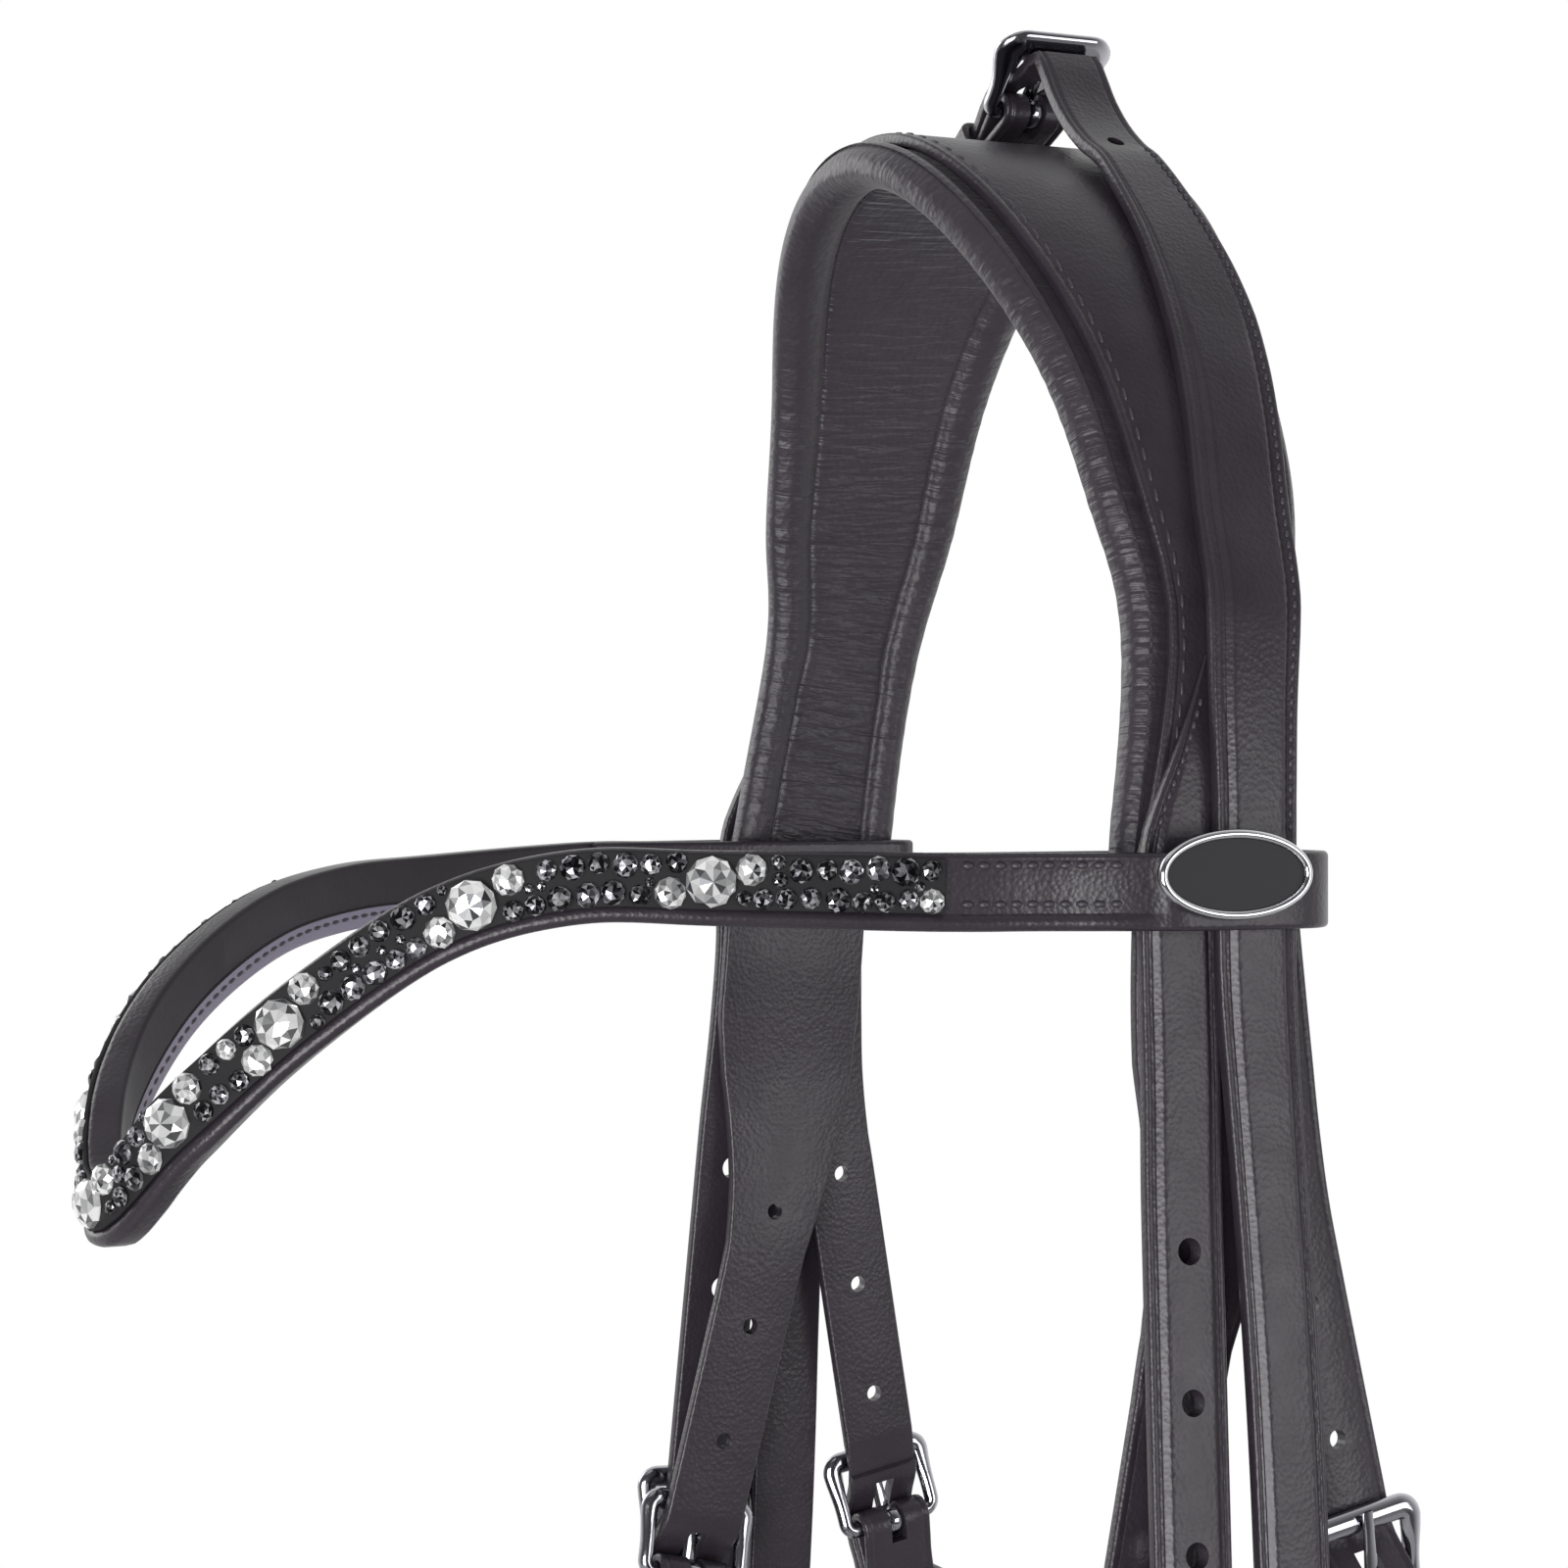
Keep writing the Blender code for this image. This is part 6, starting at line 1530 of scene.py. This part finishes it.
@dataclass
class Browband:
    """The browband: a leather loop round each strap stack, dipped arms with rolled edges, and set crystals.

    arm_shares are plan points of an arm as shares of arm_x and forward. large_places are the large stones'
    distances from the tip. Each of the fills has the sizes that it picks from, the step of its tries and how
    far they stray from the strip's edge.
    """

    kit: Bridle
    height: float = 12 * MM
    arm_height: float = 11.2 * MM
    leather: float = 2.4 * MM
    arm: float = 5 * MM
    loop_clear: float = 1.1 * MM
    rear_room: float = 1 * MM
    inner_corner: float = 4 * MM
    outer_corner: float = 12 * MM
    leg_width: float = 32.4 * MM
    return_run: float = 46 * MM
    arm_x: float = 66 * MM
    forward: float = 156 * MM
    rise: float = 1 * MM
    dip: float = 57 * MM
    dip_run: float = 74 * MM
    tip_round: float = 6 * MM
    far_sag: float = 4.2 * MM
    arm_shares: tuple = ((0.848, 0.506), (0.727, 0.641), (0.591, 0.756), (0.432, 0.872), (0.258, 0.958),
                         (0, 1))
    dip_power: float = 1.55
    strip_height: float = 8.4 * MM
    strip_lift: float = 1.0 * MM
    strip: float = 0.8 * MM
    crystal_start: float = 45 * MM
    large: float = 7.8 * MM
    mid: float = 4.9 * MM
    large_places: tuple = (0, 23 * MM, 46.5 * MM, 80.5 * MM, 116.5 * MM)
    fills: tuple = (((3.3 * MM, 3.9 * MM, 4.5 * MM), 0.2 * MM, 0.25),
                    ((2.4 * MM, 2.9 * MM), 0.1 * MM, 2.0),
                    ((1.6 * MM, 2.0 * MM), 0.07 * MM, 2.0))
    stone_gap: float = 0.05 * MM
    stone_seat: float = 0.07
    stone_tilt: float = 0.12
    kind_limits: tuple = (1, 5, 12)
    roll: float = 2.7 * MM
    roll_height: float = 0.8 * MM
    bead: float = 1.5 * MM
    bead_height: float = 0.3 * MM
    edge_round: float = 0.8 * MM
    badge_width: float = 28.2 * MM
    badge_height: float = 14 * MM
    badge_y: float = -3.6 * MM
    badge_lift: float = 2.6 * MM

    @property
    def outer(self) -> float:
        """Return the X of the middle of the loop's outer run."""
        kit = self.kit
        stack = kit.head.half_span + kit.third_layer + kit.carrier_leather + kit.panel_rise
        return stack + self.loop_clear + self.leather / 2

    def arm_share(self, y: Array) -> Array:
        """Return 0 at the sewn returns and 1 where the arms have taken their own height."""
        return ease(-y, [self.return_run, 2 * self.return_run], [0, 1])

    def route(self) -> tuple[Array, int]:
        """Return the near half of the centre line, from the sewn return round the straps to the tip.

        The level falls by dip times (1 - d / dip_run) to the power dip_power, with d the distance from the
        tip, rounded off there as the root of its square and tip_round's.

        Returns:
            The points, and how many of them make the loop.
        """
        head, run = self.kit.head, self.return_run
        inner = head.half_span - head.pad - self.loop_clear - self.leather / 2
        outer = self.outer
        rear = self.leg_width / 2 + self.loop_clear + self.rear_room + self.leather / 2
        back = self.arm_x - self.arm / 2 - CLEAR - self.leather / 2
        turn = np.radians([15, 45, 75])
        r = self.inner_corner
        corner_in = np.stack([inner + r - r * np.cos(turn), rear - r + r * np.sin(turn)], axis=1)
        r = self.outer_corner
        corner_out = np.stack([outer - r + r * np.sin(turn), rear - r + r * np.cos(turn)], axis=1)
        sewn = [[back - 0.9 * MM, -run], [back - 0.2 * MM, -0.83 * run], [inner + 1 * MM, -0.52 * run],
                [inner, -0.3 * run], [inner, 0]]
        front = [[outer - 3.5 * MM, -0.435 * run], [self.arm_x + 3 * MM, -0.7 * run],
                 [self.arm_x - 1.8 * MM, -run]]
        loop = np.vstack([sewn, corner_in, corner_out, [[outer, 0], [outer, -0.26 * run]]])
        plan = np.vstack([loop, front, np.array(self.arm_shares) * [self.arm_x, -self.forward]])
        away = np.append(np.cumsum(np.linalg.norm(np.diff(plan, axis=0), axis=1)[::-1])[::-1], 0)
        fall = self.dip * np.clip(1 - np.hypot(away, self.tip_round) / self.dip_run, 0, 1) ** self.dip_power
        level = head.brow_z - fall + self.rise * self.arm_share(plan[:, 1])
        return np.column_stack([plan, level]), len(loop)

    def line(self) -> tuple[Array, Array, Array]:
        """Return the centre line, the half thickness along it, and 1 on the arms, 0 on the loops."""
        points, loop = self.route()
        flip = Side.FAR.mirror
        arms = points[loop - 1:]
        far = arms[-2::-1] * flip
        far[:, 2] -= self.far_sag * ease(-far[:, 1], np.array([0.3, 0.68, 0.9]) * self.forward, [0, 1, 0])
        arms = spline(np.vstack([arms, far]), 4.5 * MM)[1:-1]
        count = np.arange(len(arms))
        share = np.clip(np.minimum(count, count[::-1]) / 4, 0, 1)
        thin = np.full(loop, self.leather / 2)
        half = np.concatenate([thin, self.leather / 2 + (self.arm - self.leather) / 2 * share, thin])
        line = np.vstack([points[:loop], arms, points[loop - 1::-1] * flip])
        order = np.arange(len(line))
        on_arm = (order >= loop) & (order < len(line) - loop)
        return line, half, on_arm.astype(float)

    def axes(self, points: Array) -> tuple[Array, Array, Array]:
        """Return level across and out directions, and the height's stretch where the band dips."""
        level = points * [1, 1, 0]
        across, out = strap_axes(level, -UPWARDS)
        stretch = (np.linalg.norm(np.gradient(points, axis=0), axis=1)
                   / np.linalg.norm(np.gradient(level, axis=0), axis=1))
        return across, out, stretch

    def build_band(self) -> None:
        """Add the band: flat leather, a thick roll along its lower edge and a thin one along the upper.

        Each roll is a half sine of the distance from its edge, faded out towards the loop's rear. The inner
        face is smooth leather made darker as painted shade, over a glossy edge strip made lighter as a
        painted highlight;
        the two are parted by a V groove.
        """
        line, half, arm = self.line()
        hints = repeat_rows((UPWARDS, len(line)))
        fine, _, extras = refine(line, hints, np.column_stack([half, arm]), 1.5 * MM)
        half, arm = extras.T
        across, out, stretch = self.axes(fine)
        shown = arm * ease(-fine[:, 1], [12 * MM, 24 * MM], [0, 1])
        tall = (self.height + (self.arm_height - self.height) * self.arm_share(fine[:, 1]))[:, None]
        turn = np.radians([0, 22.5, 45, 67.5, 90])
        corner = self.edge_round * (1 - np.cos(turn))
        low = np.array([1.0, 1.3, 1.7, 2.1, 2.4, 2.6, 2.75, 2.95]) * MM
        top = np.array([1.0, 1.25, 1.5]) * MM
        edge = np.concatenate([corner, low])
        rim = np.concatenate([corner, top])
        fall = self.edge_round * (1 - np.sin(turn))
        roll = self.roll_height * np.sin(math.pi * np.clip(edge / self.roll, 0, 1)) ** 0.8
        bead = self.bead_height * np.sin(math.pi * np.clip(rim / self.bead, 0, 1))
        sink = np.concatenate([fall, np.zeros(len(low))])
        split = np.array([3.9, 3.6, 3.3]) * MM
        wide = np.hstack([tall / 2 - edge, rim[::-1] - tall / 2, corner - tall / 2, tall / 2 - split,
                          tall / 2 - corner[::-1]])
        wide = wide * stretch[:, None]
        face = half[:, None] - sink + roll * shown[:, None]
        upper = half[:, None] - sink[:len(rim)] + bead * shown[:, None]
        back = -half[:, None] + fall
        groove = np.array([0, 0.25, 0]) * MM - half[:, None]
        high = np.hstack([face, upper[:, ::-1], back, groove, back[:, ::-1]])
        wardrobe = self.kit.wardrobe
        shell = skin(sweep(fine, wide, across, high, out))
        item = add_piece("browband_leather", shell, wardrobe(wardrobe.strap))
        item.data.materials.append(wardrobe(wardrobe.inner))
        item.data.materials.append(wardrobe(wardrobe.edge_strip_painted_highlight))
        size, count = wide.shape[1], len(corner)
        parts = np.zeros(len(item.data.polygons), dtype=np.int32)
        spots = parts[:(len(fine) - 1) * size].reshape(-1, size)
        # Index 1: inner face, darker by painted shade; index 2: edge strip, lighter by a painted highlight.
        spots[:, -2 * count - 2:-count - 1] = 1
        spots[:, -count - 1:-1] = 2
        item.data.polygons.foreach_set("material_index", parts)
        settle(item, "browband", "leather", "browband")
        self.build_stitching(fine, half, arm)

    def build_stitching(self, fine: Array, half: Array, arm: Array) -> None:
        """Add two close stitch rows on each arm behind the crystals, and one low inside the arms."""
        forward = -fine[:, 1]
        thread = Strap(fine, -UPWARDS, self.height / 2, half, spacing=1.5 * MM)
        arc = arc_lengths(fine)
        sewn = np.flatnonzero((arm > 0.99) & (forward > 21 * MM) & (forward < self.crystal_start))
        rows = []
        for part in (sewn[sewn < len(fine) / 2], sewn[sewn > len(fine) / 2]):
            start, end = arc[part[[0, -1]]]
            for inset, edge in ((1.9 * MM, -1), (4.2 * MM, 1)):
                rows.append(thread.stitches(inset, start, end, 2.6 * MM, (edge,), 0.1 * MM, 0.6 * MM))
        lining = Strap(fine, UPWARDS, self.arm_height / 2, half, spacing=1.5 * MM)
        whole = np.flatnonzero((arm > 0.99) & (forward > 56 * MM))
        rows.append(lining.stitches(2.2 * MM, arc[whole[0]], arc[whole[-1]], 2.4 * MM, (-1,)))
        self.kit.stitch("browband", "browband", Side.NEAR, *rows)

    def layout(self, length: float) -> Array:
        """Return place, height, size and rank of each stone of the strip.

        Large stones come first (rank 0), then the mids beside them (rank 1). Smaller ones (rank 2) are then
        laid in two rows from end to end, each as soon as it clears the others; the smallest fill the gaps.
        """
        scatter = np.random.default_rng(11)
        reach = self.strip_height / 2 + 0.2 * MM
        places = length / 2 + np.unique(np.outer([-1, 1], self.large_places))
        spots = np.array([(place, 0.0, self.large, 0.0) for place in places])
        spots = spots[np.abs(spots[:, 0] - length / 2) < (length - self.large) / 2]
        beside = (self.large + self.mid) / 2 + self.stone_gap
        edge = reach - self.mid / 2
        side = math.sqrt(beside ** 2 - edge ** 2)
        wanted = [(spot[0] + sign * side, sign * edge, self.mid, 1.0) for spot in spots for sign in (-1, 1)]
        for sizes, step, loose in self.fills:
            place = np.repeat(np.arange(0, length, step), 2)
            size = scatter.choice(sizes, len(place))
            sign = np.tile([-1.0, 1.0], len(place) // 2) * (1 - loose * scatter.random(len(place)))
            wanted += list(zip(place, sign * (reach - size / 2), size, np.full(len(place), 2.0)))
        for spot in wanted:
            away = np.hypot(spots[:, 0] - spot[0], spots[:, 1] - spot[1]) - (spots[:, 2] + spot[2]) / 2
            if away.min() > self.stone_gap * 0.9 and spot[2] / 2 < spot[0] < length - spot[2] / 2:
                spots = np.vstack([spots, spot])
        return spots

    def stone_form(self, sides: int = 10) -> Shell:
        """Return a stone of diameter one: girdle, two rings of crown facets and a table, all flat faces.

        Rings alternate by half a step, so the crown is triangles; the table is a low fan.
        """
        turn = circle(sides)
        half = math.pi / sides
        levels = ((0.5, -0.12, half), (0.5, 0.02, half), (0.43, 0.12, 0), (0.27, 0.21, half))
        rings = np.stack([np.stack([radius * np.cos(turn + twist), radius * np.sin(turn + twist),
                                    np.full(sides, level)], axis=1) for radius, level, twist in levels])

        def corner(ring: int, step: int) -> Array:
            """Return the numbers of a ring's corners, each moved on by a step."""
            return ring * sides + (np.arange(sides) + step) % sides

        patterns = (((0, 0), (0, 1), (1, 1), (1, 0)),
                    ((1, 0), (1, 1), (2, 1)), ((1, 0), (2, 1), (2, 0)),
                    ((2, 0), (2, 1), (3, 0)), ((2, 1), (3, 1), (3, 0)))
        faces = []
        for pattern in patterns:
            faces += np.stack([corner(*spot) for spot in pattern], axis=1).tolist()
        faces += np.stack([corner(3, 0), corner(3, 1), np.full(sides, 4 * sides)], axis=1).tolist()
        faces += [corner(0, 0)[::-1].tolist()]
        return np.vstack([rings.reshape(-1, 3), [[0, 0, 0.25]]]), faces

    def build_crystals(self) -> None:
        """Add the strip behind the stones, and the stones by colour, each a little tilted."""
        points, _, arm = self.line()
        across, out, stretch = self.axes(points)
        keep = (arm > 0.5) & (-points[:, 1] > self.crystal_start)
        across, out, stretch = across[keep], out[keep], stretch[keep]
        strip = points[keep] + out * (self.arm / 2 + CLEAR + self.strip / 2)
        strip = strip - across * (self.strip_lift * stretch)[:, None]
        wide, high = plain_outline(self.strip_height / 2 * stretch, np.full(len(strip), self.strip / 2),
                                   groove=0, radius=0.3 * MM)
        wardrobe = self.kit.wardrobe
        build_piece("crystal_backing_strip", skin(sweep(strip, wide, across, high, out)),
                    wardrobe(wardrobe.backing), "browband", "crystal", "crystal_strip")
        arc = arc_lengths(strip)
        place, height, size, rank = self.layout(float(arc[-1])).T
        face = unit(read_at(place, arc, out))
        run = unit(read_at(place, arc, np.gradient(strip, axis=0)))
        up = unit(np.cross(face, run))
        right = np.cross(up, face)
        number = np.arange(len(size))
        spin = number * GOLDEN_ANGLE
        first = np.cos(spin)[:, None] * right + np.sin(spin)[:, None] * up
        tilt = self.stone_tilt * np.sin(number * np.array([[1.7], [2.3]]))
        face = unit(face + tilt[0][:, None] * right + tilt[1][:, None] * up)
        first = unit(first - np.sum(first * face, axis=1, keepdims=True) * face)
        axes = np.stack([first, np.cross(face, first), face], axis=1)
        over = self.strip / 2 + size * self.stone_seat
        centre = read_at(place, arc, strip) + up * height[:, None] + face * over[:, None]
        form, faces = self.stone_form()
        corners = centre[:, None] + size[:, None, None] * np.einsum("vk,nkx->nvx", form, axes)
        order = np.argsort(np.argsort(place)) * 7 % 20
        kinds = np.where(rank < 1.5, 0, np.digitize(order, self.kind_limits))
        for index, kind in enumerate(StoneKind):
            chosen = np.flatnonzero(kinds == index)
            shell = join([(corners[one], faces) for one in chosen])
            item = add_piece(f"crystals_{kind.value}", shell, wardrobe(wardrobe.stones[kind]), crease=None)
            # Painted glints: a random share for each face, rarer on the darker kinds, moves its colour
            # towards the light end.
            painted_glint_share = np.random.default_rng(index).random(len(item.data.polygons)) ** (1.0 + 1.6 * index)
            painted_glint_facet = item.data.attributes.new("painted_glint_facet", "FLOAT", "FACE")
            painted_glint_facet.data.foreach_set("value", painted_glint_share.astype(np.float32))
            settle(item, "browband", "crystal")

    def build_badge(self) -> None:
        """Add the bare oval badge on the near loop: a silver rim of oval section and an enamel face."""
        base = self.outer + self.leather / 2 + CLEAR
        level = self.kit.head.brow_z + self.badge_lift
        turn = circle(96)
        wardrobe = self.kit.wardrobe

        def oval(shrink: float, height: float) -> Array:
            """Return an ellipse drawn in by shrink, at a height over the loop's face."""
            return np.stack([np.full(len(turn), base + height),
                             self.badge_y + (self.badge_width / 2 - shrink) * np.cos(turn),
                             level + (self.badge_height / 2 - shrink) * np.sin(turn)], axis=1)

        rim = np.stack([oval(0.75 * MM * (1 - math.cos(angle)), 0.9 * MM + 0.7 * MM * math.sin(angle))
                        for angle in circle(12)], axis=1)
        build_piece("badge_silver_rim", skin(rim, closed=True), wardrobe(wardrobe.rim), "browband", "badge",
                    "badge", crease=ROUND_ANGLE)
        levels = ((0.3, 0.0), (0.3, 0.8), (1.2, 0.95), (1.6, 1.0), (3.0, 1.06))
        plate = np.stack([oval(shrink * MM, height * MM) for shrink, height in levels])
        build_piece("badge_enamel_face", skin(plate), wardrobe(wardrobe.enamel), "browband", "badge",
                    crease=PLATE_ANGLE)

    def build(self) -> None:
        """Add the band, the crystals and the badge."""
        self.build_band()
        self.build_crystals()
        self.build_badge()


@dataclass(frozen=True)
class Softbox:
    """A square area lamp: its name, place and side in metres, and its power in watts."""

    name: str
    place: tuple
    size: float
    power: float

    def build(self, target: Vector) -> None:
        """Add the lamp, facing a point."""
        lamp = bpy.data.lights.new(self.name, "AREA")
        lamp.size = self.size
        lamp.energy = self.power
        item = bpy.data.objects.new(self.name, lamp)
        item.location = self.place
        item.rotation_euler = (target - Vector(self.place)).to_track_quat("-Z", "Y").to_euler()
        bpy.context.scene.collection.objects.link(item)


@dataclass
class Studio:
    """The camera of the photograph, a pale floor, a white surround and soft lamps.

    wall is how bright glossy rays find the surround, on the camera's side and behind the object; room is how
    bright the other rays find it.
    """

    lens: float = 91.4
    place: tuple = (0.591, -0.348, -0.1005)
    aim: tuple = (-0.886, 0.463, 0.0)
    middle: tuple = (0, 0, -0.15)
    floor_z: float = -0.47
    floor_radius: float = 0.45
    floor_thickness: float = 0.004
    room: float = 0.22
    wall: tuple = (0.1, 1.0)
    lamps: tuple = (Softbox("front_softbox", (1.0, -0.95, -0.35), 0.9, 21),
                    Softbox("top_softbox", (0.5, -0.4, 1.0), 0.8, 0.8),
                    Softbox("side_softbox", (1.0, 0.55, -0.15), 0.5, 2.6),
                    Softbox("far_softbox", (-0.9, -0.6, 0.3), 0.8, 5))

    def build(self, wardrobe: Wardrobe) -> None:
        """Set up the camera, floor, world and lamps."""
        scene = bpy.context.scene
        scene.view_settings.view_transform = "Standard"
        camera = bpy.data.cameras.new("photo_camera")
        camera.lens = self.lens
        camera.sensor_width = 36
        camera.clip_start = 0.01
        eye = bpy.data.objects.new("photo_camera", camera)
        eye.location = self.place
        eye.rotation_euler = Vector(self.aim).to_track_quat("-Z", "Y").to_euler()
        scene.collection.objects.link(eye)
        scene.camera = eye
        turn = circle(96)
        x, y = self.floor_radius * np.cos(turn), self.floor_radius * np.sin(turn)
        levels = (self.floor_z - self.floor_thickness, self.floor_z)
        rings = np.stack([np.stack([x, y, np.full(len(turn), level)], axis=1) for level in levels])
        add_piece("studio_floor", skin(rings), wardrobe(wardrobe.floor))
        self.light_world(scene)
        for lamp in self.lamps:
            lamp.build(Vector(self.middle))

    def light_world(self, scene: Scene) -> None:
        """Show white to camera and transmission rays, the wall to glossy rays and the room to the rest."""
        world = bpy.data.worlds.new("white_studio")
        scene.world = world
        world.use_nodes = True
        tree = world.node_tree
        back = tree.nodes["Background"]
        path = add_node(tree, "ShaderNodeLightPath").outputs
        seen = calculate(tree, "MAXIMUM", path["Is Camera Ray"], path["Is Transmission Ray"])
        place = add_node(tree, "ShaderNodeTexCoord").outputs["Generated"]
        ahead = add_node(tree, "ShaderNodeVectorMath", {0: place, 1: self.aim}, operation="DOT_PRODUCT")
        wall = spread(tree, ahead.outputs["Value"], *self.wall, -0.5, 0.5)
        glossy = add_node(tree, "ShaderNodeMix", {"Factor": path["Is Glossy Ray"], "A": self.room, "B": wall})
        level = add_node(tree, "ShaderNodeMix", {"Factor": seen, "A": glossy.outputs["Result"], "B": 1.0})
        feed(tree, back, {"Strength": level.outputs["Result"], "Color": (1.0, 1.0, 1.0, 1.0)})


def main() -> None:
    """Build every piece in order, then the studio."""
    logging.basicConfig(level=logging.INFO, format="%(name)s: %(message)s")
    kit = Bridle()
    headpiece = Headpiece(kit)
    headpiece.build_pad()
    headpiece.build_leather()
    throat_drops = {Side.NEAR: 112 * MM, Side.FAR: 126 * MM}
    headpiece.build_throat_billets(throat_drops)
    Throatlatch(kit).build(*(headpiece.throat_seat(drop) for drop in throat_drops.values()))
    for side in Side:
        Cheekpiece(kit).build(headpiece.cheek_seat(), side)
        FrontHanger(kit).build(side)
    Carrier(kit).build()
    Noseband(kit).build()
    Browband(kit).build()
    Studio().build(kit.wardrobe)
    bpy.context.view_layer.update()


if __name__ == "__main__":
    main()
